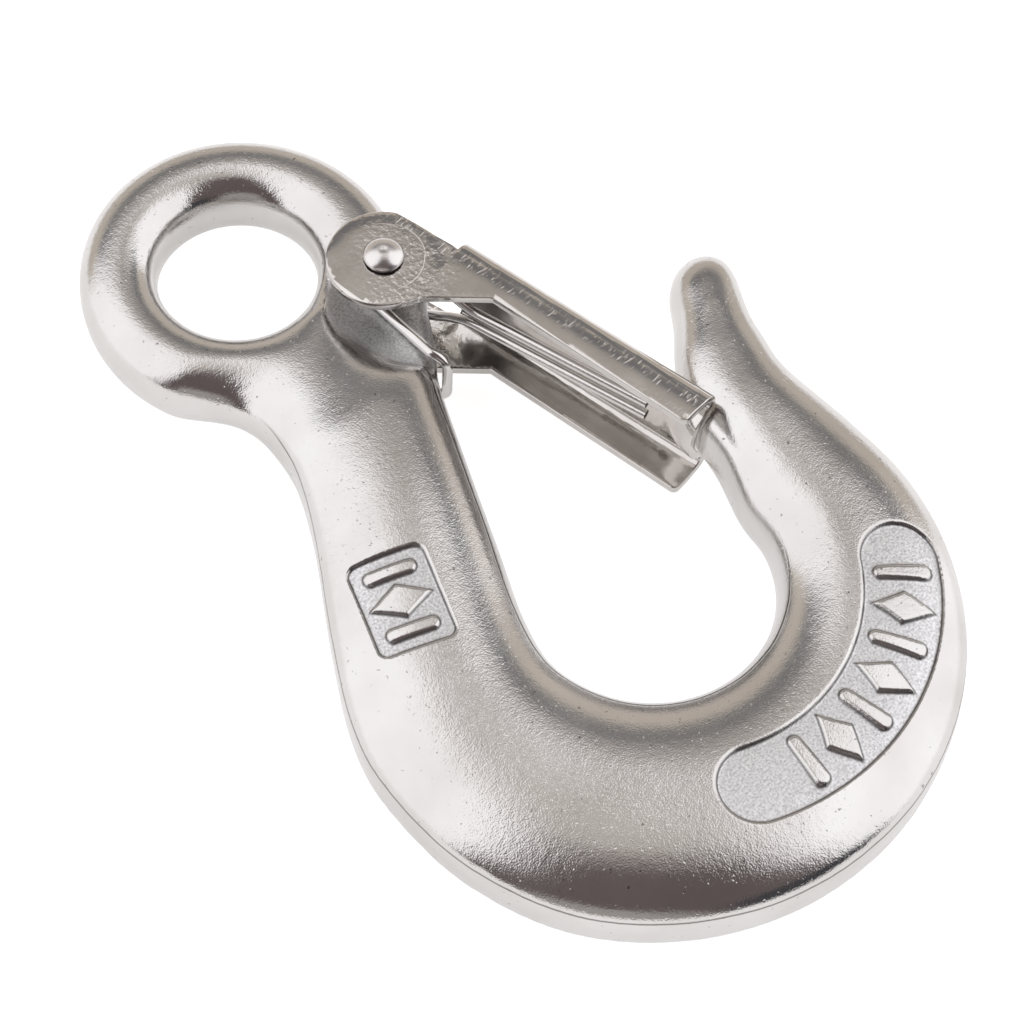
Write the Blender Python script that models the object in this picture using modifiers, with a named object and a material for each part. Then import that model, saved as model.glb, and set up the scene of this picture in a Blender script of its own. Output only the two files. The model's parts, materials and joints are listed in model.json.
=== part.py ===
"""Eye hook with spring latch: cast hook body, stamped latch, rivet and torsion spring.

The hook lies flat: its plane is XY, the load line through bowl and eye is +Y, the tip is on +X.
"""
import math

import bmesh
import bpy
import numpy as np
from mathutils import Matrix, Vector

MM = 0.001
NAME = "eye_hook_with_latch"

# ---- driving dimensions, in millimetres, measured from the bowl centre ----
LIFT = 8.6                      # height of the mid-plane above the ground
SHIFT = (0.62, -18.46)          # puts the outline's middle on the origin

BODY_HALF = 5.7                 # half thickness of bowl and shank before the flats
FLAT_HALF = 5.5                 # half thickness over the flat faces
SECTION_POWER = 2.5             # 2 is an ellipse, higher is squarer
RING_POINTS = 32                # points round one section
STEPS_PER_SPAN = 3              # loft rings between two stations

BOWL_CENTRE = (-1.0, -0.3)      # inner arc of the bowl
BOWL_RADIUS = 12.85
BACK_CENTRE = (-4.9, -2.8)      # outer arc of the bowl
BACK_RADIUS = 31.8
EASE_DEPTH = 1.2                # the back is eased in here, where the shank runs into it
EASE_ANGLE = 176.4
EASE_SPREAD = 18.7
BOWL_FROM = 172.0               # angles of the bowl's first and last station
BOWL_TO = -8.0
BOWL_STATIONS = 10

TIP_END = (32.2, 21.1)
TIP_CAP = (0.38, 0.65, 0.85, 0.97)   # how far each cap ring is toward the tip end

EYE_HOLE_CENTRE = (-0.2, 54.9)
EYE_HOLE_RADIUS = 8.3
EYE_OUTER_CENTRE = (0.0, 54.2)
EYE_OUTER_RADII = (16.8, 17.3)
EYE_HALF = 4.2
EYE_STATIONS = 56

PIVOT = (8.4, 42.2)
BOSS_RADIUS = 4.6
BOSS_HALF = 2.75                # half thickness of the recessed boss
RECESS_CENTRE = (8.2, 38.8)
RECESS_RADIUS = 8.4
SPRING_SEAT = (4.9, 31.0)
SPRING_SEAT_RADIUS = 2.1
BOSS_BORE = 1.9                 # radius

POCKET_DEPTH = 0.45             # the marking pockets' floors follow the body's face
SQUARE_POCKET = (-19.7, 15.4)   # centre
SQUARE_POCKET_SIZE = (8.2, 11.0)
SQUARE_POCKET_TURN = -29.0
POCKET_CORNER = 1.2
SLOT_CENTRE = (-1.2, -2.4)      # the curved pocket is an arc slot about this point
SLOT_RADIUS = 23.2
SLOT_HALF = 4.1
SLOT_FROM = -119.5
SLOT_TO = -43.0

SHEET = 1.0                     # latch sheet thickness
LATCH_HALF = 7.2                # half width over the latch
EAR_RADIUS = 5.9
EAR_BORE = 1.8
BEND_RADIUS = 1.8               # outside radius of the latch's bends
WEB_TOP = (7.75, -4.9)          # outer face of the web, from the pivot
WEB_END = (9.9, -35.6)
KINK = (3.5, -11.7)
LIP_END = (4.7, -35.6)
LIP_CORNER = 0.7
SEAT_START = -29.0              # the web is pressed in from here to its end
SEAT_DEPTH = 2.7
SEAT_HALF = 5.0

RIVET_RADIUS = 1.5
RIVET_HEAD = 2.1
RIVET_HEAD_GAP = 0.3
RIVET_DOME = 1.1

WIRE = 0.55                     # spring wire radius
COIL_RADIUS = 2.8
COIL_INNER_Z = 3.6
COIL_OUTER_Z = 5.35
STRAND_FOOT = (4.55, 32.6)      # where the bight's strands reach the edge of the boss
BIGHT = (4.95, 30.6)
ARM_END = (15.6, 12.9, 1.1)
ARM_TUCK = 0.32                 # share of the arm in which it bends in between the flanges

# ---- stations of shank and tip: inner point, outer point, half thickness ----
NECK = (
    ((9.4, 43.0), (-5.5, 46.0), 3.9),
    ((9.9, 37.9), (-11.9, 43.6), 4.4),
    ((6.3, 33.3), (-13.1, 39.5), 4.9),
    ((3.2, 29.9), (-13.9, 34.9), 5.4),
    ((-2.2, 21.5), (-18.4, 28.1), 5.7),
    ((-7.5, 13.0), (-25.9, 19.2), 5.7),
    ((-11.5, 6.7), (-31.7, 11.5), 5.7),
)
TIP = (
    ((14.6, 3.1), (27.7, 4.3), 5.0),
    ((16.6, 8.2), (29.2, 8.2), 4.7),
    ((20.1, 12.6), (31.1, 11.8), 4.5),
    ((26.0, 17.9), (34.0, 15.8), 4.3),
)

STEEL = {
    "hook_body": ((0.62, 0.60, 0.57), 0.28),
    "latch": ((0.58, 0.56, 0.53), 0.22),
    "latch_rivet": ((0.70, 0.69, 0.67), 0.18),
    "latch_spring": ((0.66, 0.65, 0.63), 0.20),
}


# ---- scene bookkeeping ----
def clear_scene():
    for obj in list(bpy.data.objects):
        bpy.data.objects.remove(obj, do_unlink=True)
    for collection in list(bpy.data.collections):
        bpy.data.collections.remove(collection)


def new_collection(name):
    collection = bpy.data.collections.new(name)
    bpy.context.scene.collection.children.link(collection)
    return collection


def steel(name):
    colour, roughness = STEEL[name]
    material = bpy.data.materials.new(name + "_steel")
    material.use_nodes = True
    shader = material.node_tree.nodes["Principled BSDF"]
    shader.inputs["Base Color"].default_value = (*colour, 1.0)
    shader.inputs["Roughness"].default_value = roughness
    shader.inputs["Metallic"].default_value = 1.0
    material.diffuse_color = (*colour, 1.0)
    return material


def world(x, y, z=0.0):
    """Millimetres from the bowl centre to metres in the finished frame."""
    return Vector(((x + SHIFT[0]) * MM, (y + SHIFT[1]) * MM, (z + LIFT) * MM))


def add_object(name, mesh, collection):
    obj = bpy.data.objects.new(name, mesh)
    collection.objects.link(obj)
    return obj


def as_cutter(obj, cutters):
    for collection in list(obj.users_collection):
        collection.objects.unlink(obj)
    cutters.objects.link(obj)
    obj.hide_render = True
    obj.display_type = "WIRE"
    return obj


def boolean(target, tool, operation):
    modifier = target.modifiers.new(operation.lower() + "_" + tool.name, "BOOLEAN")
    modifier.operation = operation
    modifier.solver = "EXACT"
    modifier.object = tool


# ---- shape builders ----
def superellipse(power, count):
    """Unit section: positions across and through, starting at +across."""
    angle = np.linspace(0.0, 2.0 * math.pi, count, endpoint=False)
    across = np.sign(np.cos(angle)) * np.abs(np.cos(angle)) ** (2.0 / power)
    through = np.sign(np.sin(angle)) * np.abs(np.sin(angle)) ** (2.0 / power)
    return across, through


def smooth_rows(rows, steps):
    """Catmull-Rom curve through rows of numbers."""
    rows = np.array(rows, float)
    padded = np.vstack([2 * rows[0] - rows[1], rows, 2 * rows[-1] - rows[-2]])
    result = []
    for index in range(len(rows) - 1):
        a, b, c, d = padded[index:index + 4]
        for step in range(steps):
            t = step / steps
            result.append(0.5 * (2 * b + (c - a) * t + (2 * a - 5 * b + 4 * c - d) * t * t
                                 + (3 * b - a - 3 * c + d) * t ** 3))
    result.append(rows[-1])
    return np.array(result)


def loft(name, rings, closed, collection):
    """Closed body through rings of points; open lofts get flat ends."""
    mesh = bpy.data.meshes.new(name)
    build = bmesh.new()
    loops = [[build.verts.new(point) for point in ring] for ring in rings]
    spans = len(loops) if closed else len(loops) - 1
    count = len(loops[0])
    for index in range(spans):
        near = loops[index]
        far = loops[(index + 1) % len(loops)]
        for k in range(count):
            n = (k + 1) % count
            build.faces.new((near[k], near[n], far[n], far[k]))
    if not closed:
        build.faces.new(loops[0][::-1])
        build.faces.new(loops[-1])
    bmesh.ops.recalc_face_normals(build, faces=build.faces)
    build.to_mesh(mesh)
    build.free()
    return add_object(name, mesh, collection)


def section_ring(inner, outer, half, flat):
    """One section between an inner and an outer point, flattened at +-flat."""
    across, through = superellipse(SECTION_POWER, RING_POINTS)
    inner = np.array(inner)
    outer = np.array(outer)
    middle = (inner + outer) / 2
    reach = (outer - inner) / 2
    ring = []
    for u, v in zip(across, through):
        x, y = middle + reach * u
        z = max(-flat, min(flat, half * v))
        ring.append(world(x, y, z))
    return ring


def cylinder(name, centre, radius, low, high, collection, sides=48):
    mesh = bpy.data.meshes.new(name)
    build = bmesh.new()
    place = Matrix.Translation(world(centre[0], centre[1], (low + high) / 2))
    bmesh.ops.create_cone(build, cap_ends=True, segments=sides, radius1=radius * MM,
                          radius2=radius * MM, depth=(high - low) * MM, matrix=place)
    build.to_mesh(mesh)
    build.free()
    return add_object(name, mesh, collection)


def plate(name, outline, low, high, collection):
    """Flat plate: a filled 2-D curve, extruded and turned into a mesh."""
    curve = bpy.data.curves.new(name + "_outline", "CURVE")
    curve.dimensions = "2D"
    curve.fill_mode = "BOTH"
    curve.extrude = (high - low) / 2 * MM
    spline = curve.splines.new("POLY")
    spline.points.add(len(outline) - 1)
    for point, (x, y) in zip(spline.points, outline):
        point.co = (*world(x, y).xy, 0.0, 1.0)
    spline.use_cyclic_u = True
    source = add_object(name + "_outline", curve, collection)
    source.location.z = (LIFT + (low + high) / 2) * MM
    return mesh_from_curve(source, name, collection)


def mesh_from_curve(source, name, collection):
    graph = bpy.context.evaluated_depsgraph_get()
    graph.update()
    mesh = bpy.data.meshes.new_from_object(source.evaluated_get(graph))
    mesh.name = name
    build = bmesh.new()
    build.from_mesh(mesh)
    build.transform(source.matrix_world)
    bmesh.ops.remove_doubles(build, verts=build.verts, dist=0.000002)
    bmesh.ops.recalc_face_normals(build, faces=build.faces)
    build.to_mesh(mesh)
    build.free()
    curve = source.data
    bpy.data.objects.remove(source, do_unlink=True)
    bpy.data.curves.remove(curve)
    return add_object(name, mesh, collection)


def arc(centre, radius, start, end, steps):
    """Points on an arc, angles in degrees."""
    points = []
    for step in range(steps + 1):
        angle = math.radians(start + (end - start) * step / steps)
        points.append((centre[0] + radius * math.cos(angle), centre[1] + radius * math.sin(angle)))
    return points


def rounded_rectangle(centre, size, corner, turn):
    half_x = size[0] / 2 - corner
    half_y = size[1] / 2 - corner
    points = []
    for sx, sy, start in ((1, 1, 0), (-1, 1, 90), (-1, -1, 180), (1, -1, 270)):
        points += arc((sx * half_x, sy * half_y), corner, start, start + 90, 4)
    c = math.cos(math.radians(turn))
    s = math.sin(math.radians(turn))
    return [(centre[0] + c * x - s * y, centre[1] + s * x + c * y) for x, y in points]


def arc_slot(centre, radius, half, start, end):
    middle = [arc(centre, radius, angle, angle, 1)[0] for angle in (start, end)]
    return (arc(centre, radius + half, start, end, 18)
            + arc(middle[1], half, end, end + 180, 8)[1:-1]
            + arc(centre, radius - half, end, start, 18)
            + arc(middle[0], half, start + 180, start + 360, 8)[1:-1])


def reach_to_circle(point, angle, centre, radius):
    """Distance from a point inside a circle to the circle along an angle."""
    direction = np.array((math.cos(angle), math.sin(angle)))
    offset = np.array(point) - np.array(centre)
    along = float(offset @ direction)
    return -along + math.sqrt(along * along - float(offset @ offset) + radius * radius)


# ---- hook body ----
def hook_stations():
    stations = [(*inner, *outer, half) for inner, outer, half in NECK]
    for index in range(BOWL_STATIONS + 1):
        share = index / BOWL_STATIONS
        angle = math.radians(BOWL_FROM + (360.0 + BOWL_TO - BOWL_FROM) * share)
        inner = (BOWL_CENTRE[0] + BOWL_RADIUS * math.cos(angle),
                 BOWL_CENTRE[1] + BOWL_RADIUS * math.sin(angle))
        reach = reach_to_circle(inner, angle, BACK_CENTRE, BACK_RADIUS)
        away = (math.degrees(angle) - EASE_ANGLE) / EASE_SPREAD
        reach -= EASE_DEPTH * math.exp(-away * away)
        outer = (inner[0] + reach * math.cos(angle), inner[1] + reach * math.sin(angle))
        half = BODY_HALF - 0.5 * max(0.0, share - 0.75) / 0.25
        stations.append((*inner, *outer, half))
    stations += [(*inner, *outer, half) for inner, outer, half in TIP]
    return stations


def hook_rings(inset=0.0):
    """Sections from the eye to the tip; inset thins every one of them."""
    rows = smooth_rows(hook_stations(), STEPS_PER_SPAN)
    flat = FLAT_HALF - inset
    rings = [section_ring(row[0:2], row[2:4], row[4] - inset, flat) for row in rows]
    inner = rows[-1][0:2]
    outer = rows[-1][2:4]
    middle = (inner + outer) / 2
    reach = (outer - inner) / 2
    for share in TIP_CAP:
        width = math.sqrt(1.0 - share * share)
        centre = middle + (np.array(TIP_END) - middle) * share
        rings.append(section_ring(centre - reach * width, centre + reach * width,
                                  (rows[-1][4] - inset) * width, flat))
    return rings


def eye_rings():
    rings = []
    for index in range(EYE_STATIONS):
        angle = 2.0 * math.pi * index / EYE_STATIONS
        unit = np.array((math.cos(angle), math.sin(angle)))
        inner = np.array(EYE_HOLE_CENTRE) + EYE_HOLE_RADIUS * unit
        outer = np.array(EYE_OUTER_CENTRE) + np.array(EYE_OUTER_RADII) * unit
        rings.append(section_ring(inner, outer, EYE_HALF, EYE_HALF))
    return rings


def build_hook(parts, cutters):
    body = loft("hook_body", hook_rings(), False, parts)
    eye = as_cutter(loft("eye_ring", eye_rings(), True, cutters), cutters)
    boss = as_cutter(cylinder("boss", PIVOT, BOSS_RADIUS, -BOSS_HALF, BOSS_HALF, cutters), cutters)
    boolean(body, eye, "UNION")
    boolean(body, boss, "UNION")
    clear = FLAT_HALF + 3.0
    for side, low, high in (("upper", BOSS_HALF, clear), ("lower", -clear, -BOSS_HALF)):
        for label, centre, radius in (("recess", RECESS_CENTRE, RECESS_RADIUS),
                                      ("spring_seat", SPRING_SEAT, SPRING_SEAT_RADIUS)):
            tool = cylinder(side + "_" + label, centre, radius, low, high, cutters)
            boolean(body, as_cutter(tool, cutters), "DIFFERENCE")
    bore = cylinder("boss_bore", PIVOT, BOSS_BORE, -clear, clear, cutters, 32)
    boolean(body, as_cutter(bore, cutters), "DIFFERENCE")
    core = as_cutter(loft("pocket_floor", hook_rings(POCKET_DEPTH), False, cutters), cutters)
    outlines = {
        "square_pocket": rounded_rectangle(SQUARE_POCKET, SQUARE_POCKET_SIZE, POCKET_CORNER,
                                           SQUARE_POCKET_TURN),
        "curved_pocket": arc_slot(SLOT_CENTRE, SLOT_RADIUS, SLOT_HALF, SLOT_FROM, SLOT_TO),
    }
    for name, outline in outlines.items():
        pocket = as_cutter(plate(name, outline, 1.0, clear, cutters), cutters)
        boolean(pocket, core, "DIFFERENCE")
        boolean(body, pocket, "DIFFERENCE")
    return body


# ---- latch ----
def web_outer(y):
    share = (y - WEB_TOP[1]) / (WEB_END[1] - WEB_TOP[1])
    return WEB_TOP[0] + (WEB_END[0] - WEB_TOP[0]) * share


def lip_edge(y):
    """Open edge of the latch's flanges at height y below the pivot."""
    if y > KINK[1]:
        return KINK[0]
    share = (y - KINK[1]) / (LIP_END[1] - KINK[1])
    edge = KINK[0] + (LIP_END[0] - KINK[0]) * share
    left = y - LIP_END[1]
    if left < LIP_CORNER:
        edge += LIP_CORNER - math.sqrt(LIP_CORNER ** 2 - (LIP_CORNER - left) ** 2)
    return edge


def seat(y, z):
    """How far the web is pressed inward at (y, z)."""
    share = min(1.0, max(0.0, (SEAT_START - y) / (SEAT_START - WEB_END[1])))
    rise = share * share * (3.0 - 2.0 * share)
    spread = max(0.0, 1.0 - (z / SEAT_HALF) ** 2)
    return SEAT_DEPTH * rise * spread


def channel_side(y, offset, edge):
    """Half of the channel's outer (offset 0) or inner (offset SHEET) line, web to edge."""
    face = web_outer(y) - offset
    flange = LATCH_HALF - offset
    radius = BEND_RADIUS - offset * 0.7
    points = []
    for share in (0.0, 0.25, 0.5, 0.75):
        z = (flange - radius) * share
        points.append((face - seat(y, z), z))
    for step in range(4):
        angle = math.radians(90.0 * step / 3)
        points.append((face - radius + radius * math.cos(angle),
                       flange - radius + radius * math.sin(angle)))
    points.append((edge, flange))
    return points


def channel_ring(y):
    """Closed section of the latch's channel at height y, as world points."""
    edge = lip_edge(y)
    outer = channel_side(y, 0.0, edge)
    inner = channel_side(y, SHEET, edge)
    upper = outer + inner[::-1]
    lower = [(x, -z) for x, z in inner[1:]] + [(x, -z) for x, z in outer[:0:-1]]
    return [world(PIVOT[0] + x, PIVOT[1] + y, z) for x, z in upper + lower]


def channel_heights():
    plain = np.linspace(WEB_TOP[1], SEAT_START, 6)
    pressed = np.linspace(SEAT_START, WEB_END[1] + LIP_CORNER, 6)[1:]
    corner = [WEB_END[1] + LIP_CORNER * (1.0 - math.sin(math.radians(a))) for a in (25, 50, 75)]
    return [*plain, *pressed, *corner]


def ear_outline():
    """Ear with its neck, down to the kink, from the pivot."""
    foot = KINK[1] - 0.8
    brow = web_outer(WEB_TOP[1]) - BEND_RADIUS
    points = [(web_outer(foot) - BEND_RADIUS, foot), (brow, WEB_TOP[1]), (brow, WEB_TOP[1] + 0.7)]
    points += arc((0.0, 0.0), EAR_RADIUS, 28.0, 244.0, 30)
    points += [(-1.6, -5.9), (-0.6, -6.75), KINK, (lip_edge(foot), foot)]
    return [(PIVOT[0] + x, PIVOT[1] + y) for x, y in points]


def build_latch(parts, cutters):
    latch = loft("latch", [channel_ring(y) for y in channel_heights()], False, parts)
    for side, low in (("upper_ear", LATCH_HALF - SHEET), ("lower_ear", -LATCH_HALF)):
        ear = plate(side, ear_outline(), low, low + SHEET, cutters)
        boolean(latch, as_cutter(ear, cutters), "UNION")
    bore = cylinder("ear_bore", PIVOT, EAR_BORE, -LATCH_HALF - 1.0, LATCH_HALF + 1.0, cutters, 32)
    boolean(latch, as_cutter(bore, cutters), "DIFFERENCE")
    return latch


# ---- rivet ----
def rivet_profile():
    """Half outline from the upper dome's top to the lower dome's bottom."""
    seat_z = LATCH_HALF + RIVET_HEAD_GAP
    upper = []
    for step in range(6):
        angle = math.radians(90.0 * (1.0 - step / 5))
        upper.append((RIVET_HEAD * math.cos(angle), seat_z + RIVET_DOME * math.sin(angle)))
    upper[0] = (0.0, seat_z + RIVET_DOME)
    upper.append((RIVET_RADIUS, seat_z))
    return upper + [(x, -z) for x, z in reversed(upper)]


def build_rivet(parts):
    profile = rivet_profile()
    mesh = bpy.data.meshes.new("latch_rivet")
    mesh.from_pydata([(x * MM, 0.0, z * MM) for x, z in profile],
                     [(k, k + 1) for k in range(len(profile) - 1)], [])
    rivet = add_object("latch_rivet", mesh, parts)
    screw = rivet.modifiers.new("turn", "SCREW")
    screw.axis = "Z"
    screw.angle = 2.0 * math.pi
    screw.steps = 32
    screw.render_steps = 32
    screw.use_merge_vertices = True
    screw.merge_threshold = 0.00001
    rivet.location = world(*PIVOT)
    return rivet


# ---- spring ----
def tangent_angle(point, side):
    """Angle on the coil where a line to a point touches it; side is +1 left, -1 right."""
    dx = point[0] - PIVOT[0]
    dy = point[1] - PIVOT[1]
    distance = math.hypot(dx, dy)
    return math.atan2(dy, dx) - side * math.acos(COIL_RADIUS / distance)


def spring_half():
    """Upper half of the spring from the middle of the bight to the arm's end."""
    start = tangent_angle(STRAND_FOOT, 1.0)
    finish = tangent_angle(ARM_END, -1.0)
    turn = (start - finish) % (2.0 * math.pi) + 2.0 * math.pi
    points = [(BIGHT[0], BIGHT[1], 0.0), (BIGHT[0], BIGHT[1], COIL_INNER_Z - 1.6)]
    for step in (1, 2, 3):
        share = step / 4
        x = BIGHT[0] + (STRAND_FOOT[0] - BIGHT[0]) * share ** 2
        y = BIGHT[1] + (STRAND_FOOT[1] - BIGHT[1]) * share ** 2
        z = COIL_INNER_Z - 1.6 + 1.6 * math.sin(math.radians(90.0 * share))
        points.append((x, y, z))
    points.append((*STRAND_FOOT, COIL_INNER_Z))
    steps = 34
    for step in range(steps + 1):
        share = step / steps
        angle = start - turn * share
        points.append((PIVOT[0] + COIL_RADIUS * math.cos(angle),
                       PIVOT[1] + COIL_RADIUS * math.sin(angle),
                       COIL_INNER_Z + (COIL_OUTER_Z - COIL_INNER_Z) * share))
    root = points[-1]
    for step in range(1, 9):
        share = ARM_TUCK * step / 8
        tuck = (step / 8) ** 2 * (3.0 - 2.0 * step / 8)
        points.append((root[0] + (ARM_END[0] - root[0]) * share,
                       root[1] + (ARM_END[1] - root[1]) * share,
                       root[2] + (ARM_END[2] - root[2]) * tuck))
    points.append(ARM_END)
    return points


def build_spring(parts):
    half = spring_half()
    path = [(x, y, -z) for x, y, z in half[:0:-1]] + half
    curve = bpy.data.curves.new("latch_spring_path", "CURVE")
    curve.dimensions = "3D"
    curve.bevel_depth = WIRE * MM
    curve.bevel_resolution = 2
    curve.use_fill_caps = True
    spline = curve.splines.new("POLY")
    spline.points.add(len(path) - 1)
    for point, (x, y, z) in zip(spline.points, path):
        point.co = (*world(x, y, z), 1.0)
    source = add_object("latch_spring_path", curve, parts)
    return mesh_from_curve(source, "latch_spring", parts)


def finish(obj, origin):
    """Put the origin on the joint axis, add the material and smooth shading."""
    if origin is not None:
        offset = origin - obj.location
        obj.data.transform(Matrix.Translation(-offset))
        obj.location = origin
    obj.data.materials.clear()
    obj.data.materials.append(steel(obj.name))
    obj.data.shade_smooth()
    obj.data.set_sharp_from_angle(angle=math.radians(35.0))


def main():
    clear_scene()
    parts = new_collection(NAME)
    cutters = new_collection(NAME + "_cutters")
    axis = world(*PIVOT)
    finish(build_hook(parts, cutters), None)
    finish(build_latch(parts, cutters), axis)
    finish(build_rivet(parts), None)
    finish(build_spring(parts), axis)


main()
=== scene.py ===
# %% [markdown]
# # An eye hook with a spring latch
#
# The real object is a small lifting hook. It has four parts: a heavy cast stainless body with an eye, a
# latch folded from thin sheet, a rivet that the latch swings on, and a wire spring that keeps it shut.
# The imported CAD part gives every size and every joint. This lesson builds the visible steel round it:
# first the shapes, then the finishes, then the studio.

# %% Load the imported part
import json
import math

import bmesh
import bpy
import numpy as np
from mathutils import Matrix, Vector

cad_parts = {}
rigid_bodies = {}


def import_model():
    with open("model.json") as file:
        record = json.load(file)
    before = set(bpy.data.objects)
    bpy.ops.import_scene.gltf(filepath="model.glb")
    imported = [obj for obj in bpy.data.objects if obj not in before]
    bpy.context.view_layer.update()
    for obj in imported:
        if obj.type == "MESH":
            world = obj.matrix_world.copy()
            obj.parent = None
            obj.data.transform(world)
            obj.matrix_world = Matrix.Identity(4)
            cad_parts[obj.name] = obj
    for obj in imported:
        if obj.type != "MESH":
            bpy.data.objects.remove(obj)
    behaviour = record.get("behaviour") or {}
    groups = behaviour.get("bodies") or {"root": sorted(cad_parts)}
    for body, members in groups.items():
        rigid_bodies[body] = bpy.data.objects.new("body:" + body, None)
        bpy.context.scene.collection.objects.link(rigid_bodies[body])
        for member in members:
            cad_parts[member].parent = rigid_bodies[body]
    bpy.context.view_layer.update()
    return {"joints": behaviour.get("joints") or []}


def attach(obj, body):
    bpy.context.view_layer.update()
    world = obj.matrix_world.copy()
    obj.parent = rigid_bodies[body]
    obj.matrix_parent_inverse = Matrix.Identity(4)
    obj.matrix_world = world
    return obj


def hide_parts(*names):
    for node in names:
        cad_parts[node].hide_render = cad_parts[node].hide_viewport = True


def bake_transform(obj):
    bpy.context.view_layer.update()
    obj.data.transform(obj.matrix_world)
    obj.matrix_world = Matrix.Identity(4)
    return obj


for leftover in list(bpy.data.objects):
    bpy.data.objects.remove(leftover, do_unlink=True)
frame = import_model()

# %% [markdown]
# ## One drawing for every piece
#
# The hook lies flat, so every piece can be drawn like a workshop drawing: x and y from the middle of the
# bowl, and z from the mid-plane, where the two halves of the mould met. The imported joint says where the
# pivot is, and that one point ties the drawing to the part. Millimetres keep the numbers readable.

# %% From the drawing to the scene
MM = 0.001
PIVOT = (8.4, 42.2)
pivot_in_scene = Vector(frame["joints"][0]["pos_m"])
DRAWING_ZERO = pivot_in_scene - Vector((PIVOT[0], PIVOT[1], 0.0)) * MM


def place(x, y, z=0.0):
    """A drawing point in millimetres, as a point of the scene in metres."""
    return DRAWING_ZERO + Vector((x, y, z)) * MM


print("pivot in mm:", [round(v * 1000, 2) for v in pivot_in_scene])

# %% [markdown]
# ## The cast body: sections along a line
#
# A hook is poured and then ground, so it has no sharp corners: it is a thick bar that swells in the bowl and
# thins at the tip. It could be carved from a block, but a loft suits it best. Each station gives the inner
# and the outer edge of the bar and its half thickness, a smooth curve runs through the stations, and a
# squared ellipse is drawn at every step, which has the broad face and round flanks of the casting.
# Round the outside runs the land: a narrow flat strip where the flash of the mould was ground away.

# %% A smooth curve through the stations
def through_rows(rows, steps):
    """Catmull-Rom curve through rows of numbers, with this many steps between two rows."""
    rows = np.array(rows, float)
    padded = np.vstack([2 * rows[0] - rows[1], rows, 2 * rows[-1] - rows[-2]])
    curve = []
    for index in range(len(rows) - 1):
        a, b, c, d = padded[index:index + 4]
        for step in range(steps):
            t = step / steps
            curve.append(0.5 * (2 * b + (c - a) * t + (2 * a - 5 * b + 4 * c - d) * t * t
                                + (3 * b - a - 3 * c + d) * t ** 3))
    curve.append(rows[-1])
    return np.array(curve)


print("a curve through 3 rows in 4 steps has", len(through_rows([(0,), (1,), (4,)], 4)), "rows")

# %% Stations of the shank
shank = [
    (9.4, 43.0, -5.5, 46.0, 3.9),
    (9.9, 37.9, -11.9, 43.6, 4.4),
    (6.3, 33.3, -13.1, 39.5, 4.9),
    (3.2, 29.9, -13.9, 34.9, 5.4),
    (-2.2, 21.5, -18.4, 28.1, 5.7),
    (-7.5, 13.0, -25.9, 19.2, 5.7),
    (-11.5, 6.7, -31.7, 11.5, 5.7),
]
print("shank stations:", len(shank))

# %% Stations of the bowl, between two circles
BOWL_CENTRE, BOWL_RADIUS = (-1.0, -0.3), 12.85
BACK_CENTRE, BACK_RADIUS = (-4.9, -2.8), 31.8
WAIST_AT, WAIST_SPREAD, WAIST_DEPTH = 176.4, 18.7, 1.2
BAR_HALF, TIP_THINNER = 5.7, 0.5
bowl = []
for share in np.linspace(0.0, 1.0, 11):
    angle = math.radians(172.0 + 180.0 * share)
    ray = np.array((math.cos(angle), math.sin(angle)))
    inner = np.array(BOWL_CENTRE) + BOWL_RADIUS * ray
    offset = inner - np.array(BACK_CENTRE)
    along = float(offset @ ray)
    reach = -along + math.sqrt(along * along - float(offset @ offset) + BACK_RADIUS ** 2)
    reach -= WAIST_DEPTH * math.exp(-((math.degrees(angle) - WAIST_AT) / WAIST_SPREAD) ** 2)
    outer = inner + reach * ray
    half = BAR_HALF - TIP_THINNER * max(0.0, share - 0.75) / 0.25
    bowl.append((*inner, *outer, half))
print("thickest bowl section in mm:", round(max(math.dist(b[:2], b[2:4]) for b in bowl), 1))

# %% Stations of the tip
tip = [
    (14.6, 3.1, 27.7, 4.3, 5.0),
    (16.6, 8.2, 29.2, 8.2, 4.7),
    (20.1, 12.6, 31.1, 11.8, 4.5),
    (26.0, 17.9, 34.0, 15.8, 4.3),
]
TIP_END = (32.2, 21.1)
print("tip stations:", len(tip), "and the end at", TIP_END)

# %% One ring of points for each step
RING, POWER, LAND = 96, 2.5, 2.2
turn = np.linspace(0.0, 2.0 * math.pi, RING, endpoint=False)
section_across = np.sign(np.cos(turn)) * np.abs(np.cos(turn)) ** (2.0 / POWER)
section_through = np.sign(np.sin(turn)) * np.abs(np.sin(turn)) ** (2.0 / POWER)


def section(inner, outer, half, land=0.0):
    """A squared ellipse; a land is the ground strip on the outer edge, this far above the mid-plane."""
    middle = (np.array(inner) + np.array(outer)) / 2
    reach = (np.array(outer) - np.array(inner)) / 2
    fullest = (1.0 - min(land / half, 0.5) ** POWER) ** (1.0 / POWER)
    across = np.where(section_across > 0.0, np.minimum(section_across / fullest, 1.0), section_across)
    return [place(*(middle + reach * u), half * v) for u, v in zip(across, section_through)]


STEPS = 8
bar = through_rows(shank + bowl + tip, STEPS)
rings = [section(row[0:2], row[2:4], row[4], LAND) for row in bar]
last_middle = (bar[-1][0:2] + bar[-1][2:4]) / 2
last_reach = (bar[-1][2:4] - bar[-1][0:2]) / 2
for share in np.sin(np.radians(np.arange(8.0, 90.0, 8.0))):
    width = math.sqrt(1.0 - share * share)
    centre = last_middle + (np.array(TIP_END) - last_middle) * share
    reach = last_reach * width
    rings.append(section(centre - reach, centre + reach, bar[-1][4] * width, LAND * width))
print("rings in the bar:", len(rings))


# %% Skin the rings
def set_down(name, build):
    """Puts a finished bmesh into the scene as an object."""
    mesh = bpy.data.meshes.new(name)
    build.to_mesh(mesh)
    build.free()
    piece = bpy.data.objects.new(name, mesh)
    bpy.context.scene.collection.objects.link(piece)
    return piece


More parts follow.
